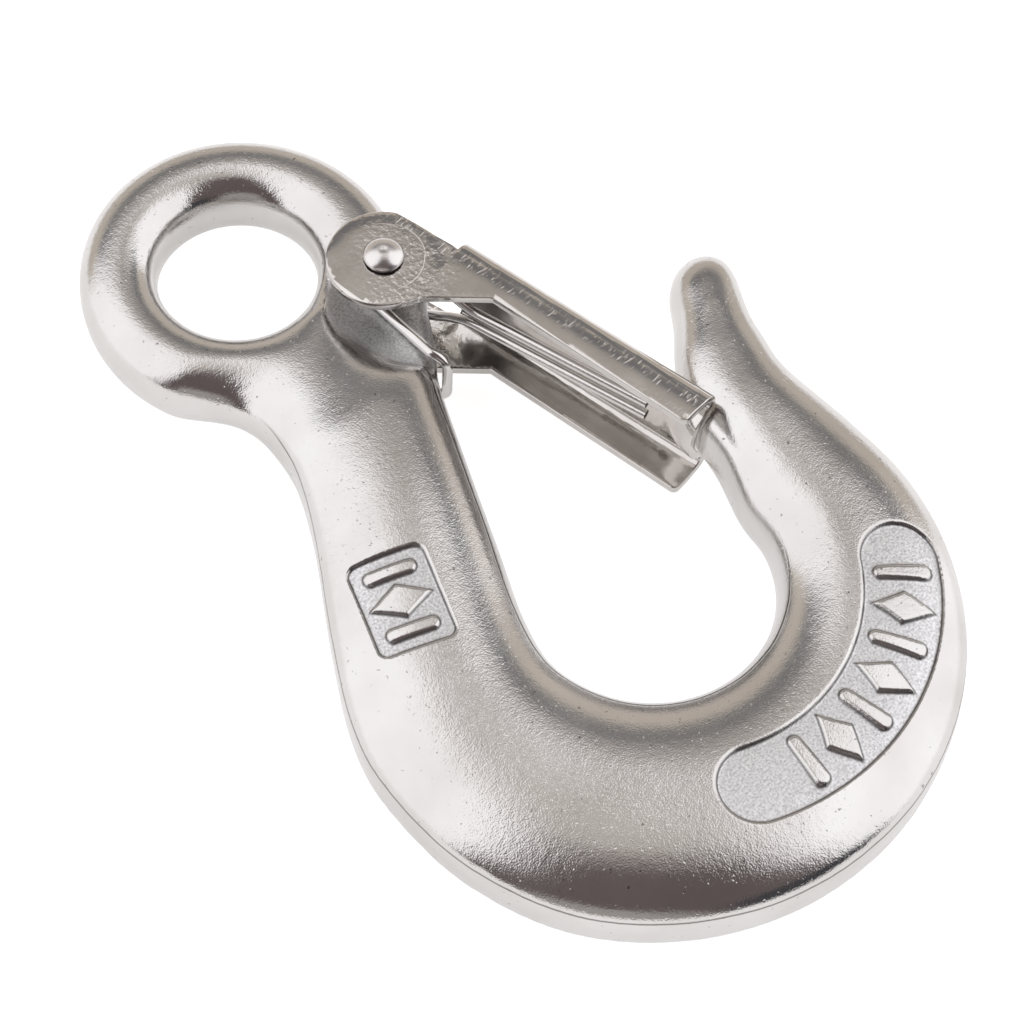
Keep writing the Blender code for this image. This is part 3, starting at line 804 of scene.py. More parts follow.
def cast_steel(name, mid_height):
    steel = bpy.data.materials.new(name)
    steel.use_nodes = True
    tree = steel.node_tree
    tree.nodes.clear()

    colour_frame = tree.nodes.new("NodeFrame")
    colour_frame.label = "Colour: warm grey with clouds"
    gloss_frame = tree.nodes.new("NodeFrame")
    gloss_frame.label = "Gloss: tumbled shine, uneven"
    relief_frame = tree.nodes.new("NodeFrame")
    relief_frame.label = "Relief: orange peel, grain, scratches"
    pocket_frame = tree.nodes.new("NodeFrame")
    pocket_frame.label = "Pockets and seat: rough and grey"
    line_frame = tree.nodes.new("NodeFrame")
    line_frame.label = "Mould line round the edge"

    where = tree.nodes.new("ShaderNodeTexCoord")
    where.label = "Place on the object"
    clouds = tree.nodes.new("ShaderNodeTexNoise")
    clouds.label = "Cloudy patches"
    cloud_colour = tree.nodes.new("ShaderNodeValToRGB")
    cloud_colour.label = "Warm to cool grey"
    specks = tree.nodes.new("ShaderNodeTexNoise")
    specks.label = "Tiny dark pits"
    speck_mask = tree.nodes.new("ShaderNodeMapRange")
    speck_mask.label = "Only the deepest pits"
    pitted = tree.nodes.new("ShaderNodeMix")
    pitted.label = "Pits darken the metal"

    smears = tree.nodes.new("ShaderNodeTexNoise")
    smears.label = "Uneven polish"
    polish = tree.nodes.new("ShaderNodeMapRange")
    polish.label = "Roughness of the shine"
    floor_rough = tree.nodes.new("ShaderNodeMix")
    floor_rough.label = "Floors are rougher"

    floor_mask = tree.nodes.new("ShaderNodeAttribute")
    floor_mask.label = "Where the pocket floors are"
    seat_mask = tree.nodes.new("ShaderNodeAttribute")
    seat_mask.label = "Where the latch seat is"
    # Mask of the painted shade at the feet of the pocket walls and marks.
    crease_shade_mask = tree.nodes.new("ShaderNodeAttribute")
    crease_shade_mask.label = "Corners given painted shade"
    raw_mask = tree.nodes.new("ShaderNodeMath")
    raw_mask.label = "Any raw surface"
    raw_grain = tree.nodes.new("ShaderNodeTexNoise")
    raw_grain.label = "Sandy grain of the raw floors"
    raw_colour = tree.nodes.new("ShaderNodeValToRGB")
    raw_colour.label = "Grey of the raw floors"
    raw_mix = tree.nodes.new("ShaderNodeMix")
    raw_mix.label = "Raw grey in the pockets"
    # Painted shade: the feet of the pocket walls and marks are darkened to near black.
    painted_shade_mix = tree.nodes.new("ShaderNodeMix")
    painted_shade_mix.label = "Painted shade in the corners"

    split = tree.nodes.new("ShaderNodeSeparateXYZ")
    split.label = "Height above the floor"
    wander = tree.nodes.new("ShaderNodeTexNoise")
    wander.label = "The line wanders a little"
    wandered = tree.nodes.new("ShaderNodeMath")
    wandered.label = "Height with the wander"
    from_middle = tree.nodes.new("ShaderNodeMath")
    from_middle.label = "Above or below the mid-plane"
    either_side = tree.nodes.new("ShaderNodeMath")
    either_side.label = "Distance from the mid-plane"
    line_height = tree.nodes.new("ShaderNodeAttribute")
    line_height.label = "Height of the line here"
    line_here = tree.nodes.new("ShaderNodeAttribute")
    line_here.label = "Where there is a line at all"
    off_line = tree.nodes.new("ShaderNodeMath")
    off_line.label = "Above or below the line"
    line_gap = tree.nodes.new("ShaderNodeMath")
    line_gap.label = "Distance from the line"
    thin_line = tree.nodes.new("ShaderNodeMapRange")
    thin_line.label = "A hair wide"
    line_mask = tree.nodes.new("ShaderNodeMath")
    line_mask.label = "The line, where it is"
    line_mix = tree.nodes.new("ShaderNodeMix")
    line_mix.label = "The line is darker"

    peel = tree.nodes.new("ShaderNodeTexNoise")
    peel.label = "Orange peel"
    peel_bump = tree.nodes.new("ShaderNodeBump")
    peel_bump.label = "Orange peel relief"
    grain = tree.nodes.new("ShaderNodeTexNoise")
    grain.label = "Fine cast grain"
    grain_bump = tree.nodes.new("ShaderNodeBump")
    grain_bump.label = "Fine grain relief"
    dings = tree.nodes.new("ShaderNodeTexVoronoi")
    dings.label = "Small dings"
    ding_shape = tree.nodes.new("ShaderNodeMapRange")
    ding_shape.label = "Shallow round dents"
    ding_bump = tree.nodes.new("ShaderNodeBump")
    ding_bump.label = "Ding relief"
    raw_height = tree.nodes.new("ShaderNodeMath")
    raw_height.label = "Sandy grain, only where raw"
    raw_bump = tree.nodes.new("ShaderNodeBump")
    raw_bump.label = "Sandy relief"
    line_bump = tree.nodes.new("ShaderNodeBump")
    line_bump.label = "The mould line stands in"

    surface = tree.nodes.new("ShaderNodeBsdfPrincipled")
    surface.label = "Bare steel"
    result = tree.nodes.new("ShaderNodeOutputMaterial")
    result.label = "Finish"

    for effect, members in (
        (colour_frame, (clouds, cloud_colour, specks, speck_mask, pitted)),
        (gloss_frame, (smears, polish, floor_rough)),
        (pocket_frame, (floor_mask, seat_mask, crease_shade_mask, raw_mask, raw_grain, raw_colour, raw_mix,
                        painted_shade_mix)),
        (line_frame, (split, wander, wandered, from_middle, either_side, line_height, line_here,
                      off_line, line_gap, thin_line, line_mask, line_mix)),
        (relief_frame, (peel, peel_bump, grain, grain_bump, dings, ding_shape, ding_bump,
                        raw_height, raw_bump, line_bump)),
    ):
        for node in members:
            node.parent = effect
    lay_out(tree, [
        [where],
        [clouds, specks, smears, raw_grain, split, wander, peel, grain, dings],
        [cloud_colour, speck_mask, polish, floor_mask, seat_mask, crease_shade_mask, wandered, ding_shape],
        [pitted, raw_mask, raw_colour, from_middle, raw_height, line_height, line_here],
        [raw_mix, either_side],
        [off_line],
        [painted_shade_mix, line_gap, floor_rough],
        [thin_line],
        [line_mask],
        [line_mix, peel_bump],
        [grain_bump],
        [ding_bump],
        [raw_bump],
        [line_bump],
        [surface],
        [result],
    ])

    clouds.inputs["Scale"].default_value = 90.0
    clouds.inputs["Detail"].default_value = 4.0
    cloud_colour.color_ramp.elements[0].position = 0.3
    cloud_colour.color_ramp.elements[0].color = (0.60, 0.585, 0.57, 1.0)
    cloud_colour.color_ramp.elements[1].position = 0.7
    cloud_colour.color_ramp.elements[1].color = (0.70, 0.69, 0.68, 1.0)
    specks.inputs["Scale"].default_value = 1400.0
    specks.inputs["Detail"].default_value = 2.0
    speck_mask.inputs["From Min"].default_value = 0.70
    speck_mask.inputs["From Max"].default_value = 0.80
    pitted.data_type = "RGBA"
    pitted.inputs["B"].default_value = (0.22, 0.21, 0.20, 1.0)
    smears.inputs["Scale"].default_value = 140.0
    smears.inputs["Detail"].default_value = 5.0
    polish.inputs["From Min"].default_value = 0.3
    polish.inputs["From Max"].default_value = 0.7
    polish.inputs["To Min"].default_value = 0.09
    polish.inputs["To Max"].default_value = 0.17
    floor_rough.data_type = "FLOAT"
    floor_rough.inputs["B"].default_value = 0.42
    floor_mask.attribute_name = "pocket_floor"
    seat_mask.attribute_name = "latch_seat"
    crease_shade_mask.attribute_name = "pocket_crease_shade"
    raw_mask.operation = "MAXIMUM"
    raw_grain.inputs["Scale"].default_value = 4200.0
    raw_grain.inputs["Detail"].default_value = 3.0
    raw_colour.color_ramp.elements[0].position = 0.3
    raw_colour.color_ramp.elements[0].color = (0.52, 0.52, 0.53, 1.0)
    raw_colour.color_ramp.elements[1].position = 0.62
    raw_colour.color_ramp.elements[1].color = (0.86, 0.86, 0.87, 1.0)
    raw_mix.data_type = "RGBA"
    painted_shade_mix.data_type = "RGBA"
    # Near-black colour of the painted shade in the pocket corners.
    painted_shade_mix.inputs["B"].default_value = (0.09, 0.08, 0.075, 1.0)
    wander.inputs["Scale"].default_value = 120.0
    wandered.operation = "MULTIPLY_ADD"
    wandered.inputs[1].default_value = 0.0004
    from_middle.operation = "SUBTRACT"
    from_middle.inputs[1].default_value = mid_height + 0.0002
    either_side.operation = "ABSOLUTE"
    line_height.attribute_name = "line_height"
    line_here.attribute_name = "line_here"
    off_line.operation = "SUBTRACT"
    line_gap.operation = "ABSOLUTE"
    thin_line.inputs["From Min"].default_value = 0.00014
    thin_line.inputs["From Max"].default_value = 0.00004
    line_mask.operation = "MULTIPLY"
    line_mix.data_type = "RGBA"
    line_mix.inputs["B"].default_value = (0.10, 0.09, 0.085, 1.0)
    peel.inputs["Scale"].default_value = 1500.0
    peel.inputs["Detail"].default_value = 2.0
    peel_bump.inputs["Strength"].default_value = 1.0
    peel_bump.inputs["Distance"].default_value = 0.000016
    grain.inputs["Scale"].default_value = 6000.0
    grain.inputs["Detail"].default_value = 2.0
    grain_bump.inputs["Strength"].default_value = 1.0
    grain_bump.inputs["Distance"].default_value = 0.000017
    dings.inputs["Scale"].default_value = 1300.0
    ding_shape.inputs["From Min"].default_value = 0.0
    ding_shape.inputs["From Max"].default_value = 0.16
    ding_bump.inputs["Strength"].default_value = 1.0
    ding_bump.inputs["Distance"].default_value = 0.00002
    raw_height.operation = "MULTIPLY"
    raw_bump.inputs["Strength"].default_value = 1.0
    raw_bump.inputs["Distance"].default_value = 0.00005
    line_bump.inputs["Strength"].default_value = 0.6
    line_bump.inputs["Distance"].default_value = 0.00005
    line_bump.invert = True
    surface.inputs["Metallic"].default_value = 1.0

    link = tree.links.new
    for texture in (clouds, specks, smears, raw_grain, wander, peel, grain, dings):
        link(where.outputs["Object"], texture.inputs["Vector"])
    link(where.outputs["Object"], split.inputs["Vector"])
    link(clouds.outputs["Fac"], cloud_colour.inputs["Fac"])
    link(specks.outputs["Fac"], speck_mask.inputs["Value"])
    link(speck_mask.outputs["Result"], pitted.inputs["Factor"])
    link(cloud_colour.outputs["Color"], pitted.inputs["A"])
    link(floor_mask.outputs["Fac"], raw_mask.inputs[0])
    link(seat_mask.outputs["Fac"], raw_mask.inputs[1])
    link(raw_grain.outputs["Fac"], raw_colour.inputs["Fac"])
    link(raw_mask.outputs["Value"], raw_mix.inputs["Factor"])
    link(pitted.outputs["Result"], raw_mix.inputs["A"])
    link(raw_colour.outputs["Color"], raw_mix.inputs["B"])
    link(crease_shade_mask.outputs["Fac"], painted_shade_mix.inputs["Factor"])
    link(raw_mix.outputs["Result"], painted_shade_mix.inputs["A"])
    link(wander.outputs["Fac"], wandered.inputs[0])
    link(split.outputs["Z"], wandered.inputs[2])
    link(wandered.outputs["Value"], from_middle.inputs[0])
    link(from_middle.outputs["Value"], either_side.inputs[0])
    link(either_side.outputs["Value"], off_line.inputs[0])
    link(line_height.outputs["Fac"], off_line.inputs[1])
    link(off_line.outputs["Value"], line_gap.inputs[0])
    link(line_gap.outputs["Value"], thin_line.inputs["Value"])
    link(thin_line.outputs["Result"], line_mask.inputs[0])
    link(line_here.outputs["Fac"], line_mask.inputs[1])
    link(line_mask.outputs["Value"], line_mix.inputs["Factor"])
    link(painted_shade_mix.outputs["Result"], line_mix.inputs["A"])
    link(line_mix.outputs["Result"], surface.inputs["Base Color"])
    link(smears.outputs["Fac"], polish.inputs["Value"])
    link(polish.outputs["Result"], floor_rough.inputs["A"])
    link(raw_mask.outputs["Value"], floor_rough.inputs["Factor"])
    link(floor_rough.outputs["Result"], surface.inputs["Roughness"])
    link(peel.outputs["Fac"], peel_bump.inputs["Height"])
    link(grain.outputs["Fac"], grain_bump.inputs["Height"])
    link(peel_bump.outputs["Normal"], grain_bump.inputs["Normal"])
    link(dings.outputs["Distance"], ding_shape.inputs["Value"])
    link(ding_shape.outputs["Result"], ding_bump.inputs["Height"])
    link(grain_bump.outputs["Normal"], ding_bump.inputs["Normal"])
    link(raw_grain.outputs["Fac"], raw_height.inputs[0])
    link(raw_mask.outputs["Value"], raw_height.inputs[1])
    link(raw_height.outputs["Value"], raw_bump.inputs["Height"])
    link(ding_bump.outputs["Normal"], raw_bump.inputs["Normal"])
    link(line_mask.outputs["Value"], line_bump.inputs["Height"])
    link(raw_bump.outputs["Normal"], line_bump.inputs["Normal"])
    link(line_bump.outputs["Normal"], surface.inputs["Normal"])
    link(surface.outputs["BSDF"], result.inputs["Surface"])
    return steel


body.data.materials.clear()
body.data.materials.append(cast_steel("cast_steel", pivot_in_scene.z))
print("cast steel nodes:", len(body.data.materials[0].node_tree.nodes))

# %% [markdown]
# ## Pressed sheet
#
# The latch was stamped from rolled sheet and only barrelled for a moment, so it is smoother than the casting
# but not clean. The punch round the rivet left a mottled ear and part of a ring. Along the bend the tool
# left a comb of short scratches across the metal. Drawn on an unwrapped sheet they would have to be lined up
# by eye, so all of it is measured from the pivot, and the marks sit the same way on both flanges.

# %% Sheet steel
def sheet_steel(name, pivot):
    steel = bpy.data.materials.new(name)
    steel.use_nodes = True
    tree = steel.node_tree
    tree.nodes.clear()

    colour_frame = tree.nodes.new("NodeFrame")
    colour_frame.label = "Colour: warm rolled sheet"
    gloss_frame = tree.nodes.new("NodeFrame")
    gloss_frame.label = "Gloss: rolled and barrelled"
    ear_frame = tree.nodes.new("NodeFrame")
    ear_frame.label = "Punch marks round the rivet"
    comb_frame = tree.nodes.new("NodeFrame")
    comb_frame.label = "Comb of scratches along the bend"
    relief_frame = tree.nodes.new("NodeFrame")
    relief_frame.label = "Relief"

    where = tree.nodes.new("ShaderNodeTexCoord")
    where.label = "Place on the object"
    tone_noise = tree.nodes.new("ShaderNodeTexNoise")
    tone_noise.label = "Faint stains"
    tone = tree.nodes.new("ShaderNodeValToRGB")
    tone.label = "Warm grey of the sheet"
    pits = tree.nodes.new("ShaderNodeTexNoise")
    pits.label = "A few dark pits"
    pit_mask = tree.nodes.new("ShaderNodeMapRange")
    pit_mask.label = "Only the deepest"
    pitted = tree.nodes.new("ShaderNodeMix")
    pitted.label = "Pits in the sheet"
    worn = tree.nodes.new("ShaderNodeMix")
    worn.label = "Scratches are bright"

    rolled = tree.nodes.new("ShaderNodeTexNoise")
    rolled.label = "Uneven gloss"
    gloss = tree.nodes.new("ShaderNodeMapRange")
    gloss.label = "Roughness of the sheet"

    from_pivot = tree.nodes.new("ShaderNodeVectorMath")
    from_pivot.label = "Measured from the pivot"
    flat = tree.nodes.new("ShaderNodeVectorMath")
    flat.label = "In the plane only"
    radius = tree.nodes.new("ShaderNodeVectorMath")
    radius.label = "Distance from the rivet"
    off_ring = tree.nodes.new("ShaderNodeMath")
    off_ring.label = "Inside or outside the ring"
    ring_gap = tree.nodes.new("ShaderNodeMath")
    ring_gap.label = "Distance from the ring"
    ring = tree.nodes.new("ShaderNodeMapRange")
    ring.label = "Thin ring"
    ring_side = tree.nodes.new("ShaderNodeVectorMath")
    ring_side.label = "Which side of the rivet"
    ring_part = tree.nodes.new("ShaderNodeMapRange")
    ring_part.label = "The punch leaned to one side"
    part_ring = tree.nodes.new("ShaderNodeMath")
    part_ring.label = "Part of a ring"
    near_rivet = tree.nodes.new("ShaderNodeMapRange")
    near_rivet.label = "Mottled near the rivet"
    mottle = tree.nodes.new("ShaderNodeTexNoise")
    mottle.label = "Hammered mottle"
    mottle_side = tree.nodes.new("ShaderNodeMapRange")
    mottle_side.label = "Fading to the far side"
    mottle_area = tree.nodes.new("ShaderNodeMath")
    mottle_area.label = "Where the mottle is"
    ear_mottle = tree.nodes.new("ShaderNodeMath")
    ear_mottle.label = "Mottle, only there"

    axes = tree.nodes.new("ShaderNodeSeparateXYZ")
    axes.label = "Across and along the latch"
    slant = tree.nodes.new("ShaderNodeMath")
    slant.label = "The bend runs at a slant"
    band_gap = tree.nodes.new("ShaderNodeMath")
    band_gap.label = "Distance from the comb's middle"
    band_off = tree.nodes.new("ShaderNodeMath")
    band_off.label = "Either side of it"
    band = tree.nodes.new("ShaderNodeMapRange")
    band.label = "A band along the bend"
    stretch = tree.nodes.new("ShaderNodeVectorMath")
    stretch.label = "Long across, short along"
    teeth = tree.nodes.new("ShaderNodeTexNoise")
    teeth.label = "Scratches across the sheet"
    tooth = tree.nodes.new("ShaderNodeMapRange")
    tooth.label = "Only the sharp ones"
    patches = tree.nodes.new("ShaderNodeTexNoise")
    patches.label = "Denser here, sparser there"
    patch_mask = tree.nodes.new("ShaderNodeMapRange")
    patch_mask.label = "Patches of scratches"
    in_band = tree.nodes.new("ShaderNodeMath")
    in_band.label = "Scratches in the band"
    depth = tree.nodes.new("ShaderNodeMath")
    depth.label = "Height above or below the rivet's middle"
    outside = tree.nodes.new("ShaderNodeMapRange")
    outside.label = "Only on the outer faces"
    on_face = tree.nodes.new("ShaderNodeMath")
    on_face.label = "Patches on the outer faces"
    comb = tree.nodes.new("ShaderNodeMath")
    comb.label = "The comb"

    skin_noise = tree.nodes.new("ShaderNodeTexNoise")
    skin_noise.label = "Skin of the sheet"
    skin_bump = tree.nodes.new("ShaderNodeBump")
    skin_bump.label = "Skin relief"
    mottle_bump = tree.nodes.new("ShaderNodeBump")
    mottle_bump.label = "Mottle relief"
    ring_bump = tree.nodes.new("ShaderNodeBump")
    ring_bump.label = "Ring relief"
    comb_bump = tree.nodes.new("ShaderNodeBump")
    comb_bump.label = "Scratch relief"

    surface = tree.nodes.new("ShaderNodeBsdfPrincipled")
    surface.label = "Bare steel"
    result = tree.nodes.new("ShaderNodeOutputMaterial")
    result.label = "Finish"

    for effect, members in (
        (colour_frame, (tone_noise, tone, pits, pit_mask, pitted, worn)),
        (gloss_frame, (rolled, gloss)),
        (ear_frame, (from_pivot, flat, radius, off_ring, ring_gap, ring, ring_side, ring_part,
                     part_ring, near_rivet, mottle, mottle_side, mottle_area, ear_mottle)),
        (comb_frame, (axes, slant, band_gap, band_off, band, stretch, teeth, tooth, patches,
                      patch_mask, in_band, depth, outside, on_face, comb)),
        (relief_frame, (skin_noise, skin_bump, mottle_bump, ring_bump, comb_bump)),
    ):
        for node in members:
            node.parent = effect
    lay_out(tree, [
        [where],
        [from_pivot, tone_noise, pits, rolled, mottle, patches, skin_noise],
        [flat, axes, stretch, ring_side],
        [radius, slant, teeth, tone, pit_mask, gloss, ring_part, patch_mask],
        [off_ring, band_gap, tooth, pitted, near_rivet, mottle_side],
        [ring_gap, band_off, mottle_area, depth],
        [band, ear_mottle, outside],
        [on_face],
        [ring, in_band],
        [part_ring, comb],
        [worn, skin_bump],
        [mottle_bump],
        [ring_bump],
        [comb_bump],
        [surface],
        [result],
    ])

    tone_noise.inputs["Scale"].default_value = 220.0
    tone_noise.inputs["Detail"].default_value = 4.0
    tone.color_ramp.elements[0].position = 0.3
    tone.color_ramp.elements[0].color = (0.56, 0.535, 0.51, 1.0)
    tone.color_ramp.elements[1].position = 0.7
    tone.color_ramp.elements[1].color = (0.68, 0.655, 0.63, 1.0)
    pits.inputs["Scale"].default_value = 900.0
    pit_mask.inputs["From Min"].default_value = 0.74
    pit_mask.inputs["From Max"].default_value = 0.79
    pitted.data_type = "RGBA"
    pitted.inputs["B"].default_value = (0.20, 0.19, 0.18, 1.0)
    worn.data_type = "RGBA"
    worn.inputs["B"].default_value = (0.74, 0.71, 0.69, 1.0)
    rolled.inputs["Scale"].default_value = 300.0
    rolled.inputs["Detail"].default_value = 5.0
    gloss.inputs["From Min"].default_value = 0.3
    gloss.inputs["From Max"].default_value = 0.7
    gloss.inputs["To Min"].default_value = 0.08
    gloss.inputs["To Max"].default_value = 0.15
    from_pivot.operation = "SUBTRACT"
    from_pivot.inputs[1].default_value = pivot
    flat.operation = "MULTIPLY"
    flat.inputs[1].default_value = (1.0, 1.0, 0.0)
    radius.operation = "LENGTH"
    off_ring.operation = "SUBTRACT"
    off_ring.inputs[1].default_value = 0.00425
    ring_gap.operation = "ABSOLUTE"
    ring.inputs["From Min"].default_value = 0.00009
    ring.inputs["From Max"].default_value = 0.00003
    ring_side.operation = "DOT_PRODUCT"
    ring_side.inputs[1].default_value = (0.8, -0.45, 0.0)
    ring_part.inputs["From Min"].default_value = 0.0
    ring_part.inputs["From Max"].default_value = 0.0012
    part_ring.operation = "MULTIPLY"
    near_rivet.inputs["From Min"].default_value = 0.0095
    near_rivet.inputs["From Max"].default_value = 0.0055
    mottle_side.inputs["From Min"].default_value = -0.0035
    mottle_side.inputs["From Max"].default_value = 0.0015
    mottle_area.operation = "MULTIPLY"
    mottle.inputs["Scale"].default_value = 1700.0
    mottle.inputs["Detail"].default_value = 3.0
    mottle.inputs["Distortion"].default_value = 0.15
    ear_mottle.operation = "MULTIPLY"
    slant.operation = "MULTIPLY_ADD"
    slant.inputs[1].default_value = 0.07
    band_gap.operation = "SUBTRACT"
    band_gap.inputs[1].default_value = 0.0049
    band_off.operation = "ABSOLUTE"
    band.inputs["From Min"].default_value = 0.0010
    band.inputs["From Max"].default_value = 0.0005
    stretch.operation = "MULTIPLY"
    stretch.inputs[1].default_value = (0.12, 1.0, 1.0)
    teeth.inputs["Scale"].default_value = 3600.0
    teeth.inputs["Detail"].default_value = 1.0
    tooth.inputs["From Min"].default_value = 0.57
    tooth.inputs["From Max"].default_value = 0.70
    patches.inputs["Scale"].default_value = 260.0
    patch_mask.inputs["From Min"].default_value = 0.30
    patch_mask.inputs["From Max"].default_value = 0.50
    in_band.operation = "MULTIPLY"
    depth.operation = "ABSOLUTE"
    outside.inputs["From Min"].default_value = 0.0064
    outside.inputs["From Max"].default_value = 0.0067
    on_face.operation = "MULTIPLY"
    comb.operation = "MULTIPLY"
    skin_noise.inputs["Scale"].default_value = 2600.0
    skin_noise.inputs["Detail"].default_value = 3.0
    skin_bump.inputs["Strength"].default_value = 1.0
    skin_bump.inputs["Distance"].default_value = 0.000006
    mottle_bump.inputs["Strength"].default_value = 1.0
    mottle_bump.inputs["Distance"].default_value = 0.00007
    ring_bump.inputs["Strength"].default_value = 1.0
    ring_bump.inputs["Distance"].default_value = 0.00004
    ring_bump.invert = True
    comb_bump.inputs["Strength"].default_value = 1.0
    comb_bump.inputs["Distance"].default_value = 0.00002
    comb_bump.invert = True
    surface.inputs["Metallic"].default_value = 1.0

    link = tree.links.new
    link(where.outputs["Object"], from_pivot.inputs[0])
    for texture in (tone_noise, pits, rolled, mottle, patches, skin_noise):
        link(where.outputs["Object"], texture.inputs["Vector"])
    link(from_pivot.outputs["Vector"], flat.inputs[0])
    link(from_pivot.outputs["Vector"], axes.inputs["Vector"])
    link(from_pivot.outputs["Vector"], stretch.inputs[0])
    link(from_pivot.outputs["Vector"], ring_side.inputs[0])
    link(flat.outputs["Vector"], radius.inputs[0])
    link(radius.outputs["Value"], off_ring.inputs[0])
    link(off_ring.outputs["Value"], ring_gap.inputs[0])
    link(ring_gap.outputs["Value"], ring.inputs["Value"])
    link(ring_side.outputs["Value"], ring_part.inputs["Value"])
    link(ring.outputs["Result"], part_ring.inputs[0])
    link(ring_part.outputs["Result"], part_ring.inputs[1])
    link(radius.outputs["Value"], near_rivet.inputs["Value"])
    link(mottle.outputs["Fac"], ear_mottle.inputs[0])
    link(ring_side.outputs["Value"], mottle_side.inputs["Value"])
    link(near_rivet.outputs["Result"], mottle_area.inputs[0])
    link(mottle_side.outputs["Result"], mottle_area.inputs[1])
    link(mottle_area.outputs["Value"], ear_mottle.inputs[1])
    link(axes.outputs["Y"], slant.inputs[0])
    link(axes.outputs["X"], slant.inputs[2])
    link(slant.outputs["Value"], band_gap.inputs[0])
    link(band_gap.outputs["Value"], band_off.inputs[0])
    link(band_off.outputs["Value"], band.inputs["Value"])
    link(stretch.outputs["Vector"], teeth.inputs["Vector"])
    link(teeth.outputs["Fac"], tooth.inputs["Value"])
    link(patches.outputs["Fac"], patch_mask.inputs["Value"])
    link(tooth.outputs["Result"], in_band.inputs[0])
    link(band.outputs["Result"], in_band.inputs[1])
    link(in_band.outputs["Value"], comb.inputs[0])
    link(axes.outputs["Z"], depth.inputs[0])
    link(depth.outputs["Value"], outside.inputs["Value"])
    link(patch_mask.outputs["Result"], on_face.inputs[0])
    link(outside.outputs["Result"], on_face.inputs[1])
    link(on_face.outputs["Value"], comb.inputs[1])
    link(tone_noise.outputs["Fac"], tone.inputs["Fac"])
    link(pits.outputs["Fac"], pit_mask.inputs["Value"])
    link(pit_mask.outputs["Result"], pitted.inputs["Factor"])
    link(tone.outputs["Color"], pitted.inputs["A"])
    link(comb.outputs["Value"], worn.inputs["Factor"])
    link(pitted.outputs["Result"], worn.inputs["A"])
    link(worn.outputs["Result"], surface.inputs["Base Color"])
    link(rolled.outputs["Fac"], gloss.inputs["Value"])
    link(gloss.outputs["Result"], surface.inputs["Roughness"])
    link(skin_noise.outputs["Fac"], skin_bump.inputs["Height"])
    link(ear_mottle.outputs["Value"], mottle_bump.inputs["Height"])
    link(skin_bump.outputs["Normal"], mottle_bump.inputs["Normal"])
    link(part_ring.outputs["Value"], ring_bump.inputs["Height"])
    link(mottle_bump.outputs["Normal"], ring_bump.inputs["Normal"])
    link(comb.outputs["Value"], comb_bump.inputs["Height"])
    link(ring_bump.outputs["Normal"], comb_bump.inputs["Normal"])
    link(comb_bump.outputs["Normal"], surface.inputs["Normal"])
    link(surface.outputs["BSDF"], result.inputs["Surface"])
    return steel


latch.data.materials.clear()
latch.data.materials.append(sheet_steel("sheet_steel", pivot_in_scene))
print("sheet steel nodes:", len(latch.data.materials[0].node_tree.nodes))

# %% [markdown]
# ## Rivet and wire
#
# The rivet's heads were pressed by a smooth tool and the wire was drawn through a die, so neither shows
# marks as the sheet does. Both need only a faint mottle and a fine relief, so one make-up serves them,
# with a different colour, gloss and grain.

# %% Bright steel for the small parts
def bright_steel(name, colour, roughness, line_scale):
    steel = bpy.data.materials.new(name)
    steel.use_nodes = True
    tree = steel.node_tree
    tree.nodes.clear()

    look_frame = tree.nodes.new("NodeFrame")
    look_frame.label = "Colour and gloss"
    relief_frame = tree.nodes.new("NodeFrame")
    relief_frame.label = "Relief"

    where = tree.nodes.new("ShaderNodeTexCoord")
    where.label = "Place on the object"
    mottle = tree.nodes.new("ShaderNodeTexNoise")
    mottle.label = "Faint mottling"
    tone = tree.nodes.new("ShaderNodeValToRGB")
    tone.label = "Tone of the metal"
    rough = tree.nodes.new("ShaderNodeMapRange")
    rough.label = "Uneven gloss"
    lines = tree.nodes.new("ShaderNodeTexNoise")
    lines.label = "Fine surface texture"
    bump = tree.nodes.new("ShaderNodeBump")
    bump.label = "Fine relief"
    surface = tree.nodes.new("ShaderNodeBsdfPrincipled")
    surface.label = "Bare steel"
    result = tree.nodes.new("ShaderNodeOutputMaterial")
    result.label = "Finish"
    for effect, members in ((look_frame, (mottle, tone, rough)), (relief_frame, (lines, bump))):
        for node in members:
            node.parent = effect
    lay_out(tree, [[where], [mottle, lines], [tone, rough, bump], [surface], [result]])

    mottle.inputs["Scale"].default_value = 500.0
    tone.color_ramp.elements[0].color = (*[c * 0.85 for c in colour], 1.0)
    tone.color_ramp.elements[1].color = (*colour, 1.0)
    rough.inputs["To Min"].default_value = roughness * 0.7
    rough.inputs["To Max"].default_value = roughness * 1.4
    lines.inputs["Scale"].default_value = line_scale
    bump.inputs["Strength"].default_value = 0.25
    bump.inputs["Distance"].default_value = 0.00002
    surface.inputs["Metallic"].default_value = 1.0

    link = tree.links.new
    link(where.outputs["Object"], mottle.inputs["Vector"])
    link(where.outputs["Object"], lines.inputs["Vector"])
    link(mottle.outputs["Fac"], tone.inputs["Fac"])
    link(mottle.outputs["Fac"], rough.inputs["Value"])
    link(lines.outputs["Fac"], bump.inputs["Height"])
    link(tone.outputs["Color"], surface.inputs["Base Color"])
    link(rough.outputs["Result"], surface.inputs["Roughness"])
    link(bump.outputs["Normal"], surface.inputs["Normal"])
    link(surface.outputs["BSDF"], result.inputs["Surface"])
    return steel


for piece, colour, roughness, scale in (
    (rivet, (0.76, 0.74, 0.73), 0.24, 2200.0),
    (spring, (0.74, 0.72, 0.70), 0.12, 3000.0),
):
    piece.data.materials.clear()
    piece.data.materials.append(bright_steel(piece.name + "_steel", colour, roughness, scale))
    print(piece.name, "nodes:", len(piece.data.materials[0].node_tree.nodes))

# %% [markdown]
# ## The studio
#
# Polished metal shows the room it is in. Two soft panels lean together over the table like a tent, one on
# each side, and the tent is open toward the camera and at the back. A pale card stands across the opening
# toward the camera and a dark flag beside it, so the flanks of the hook get warm and dark edges. The floor
# is white paper. Lamps would give small hard spots, so every light here is a glowing sheet.

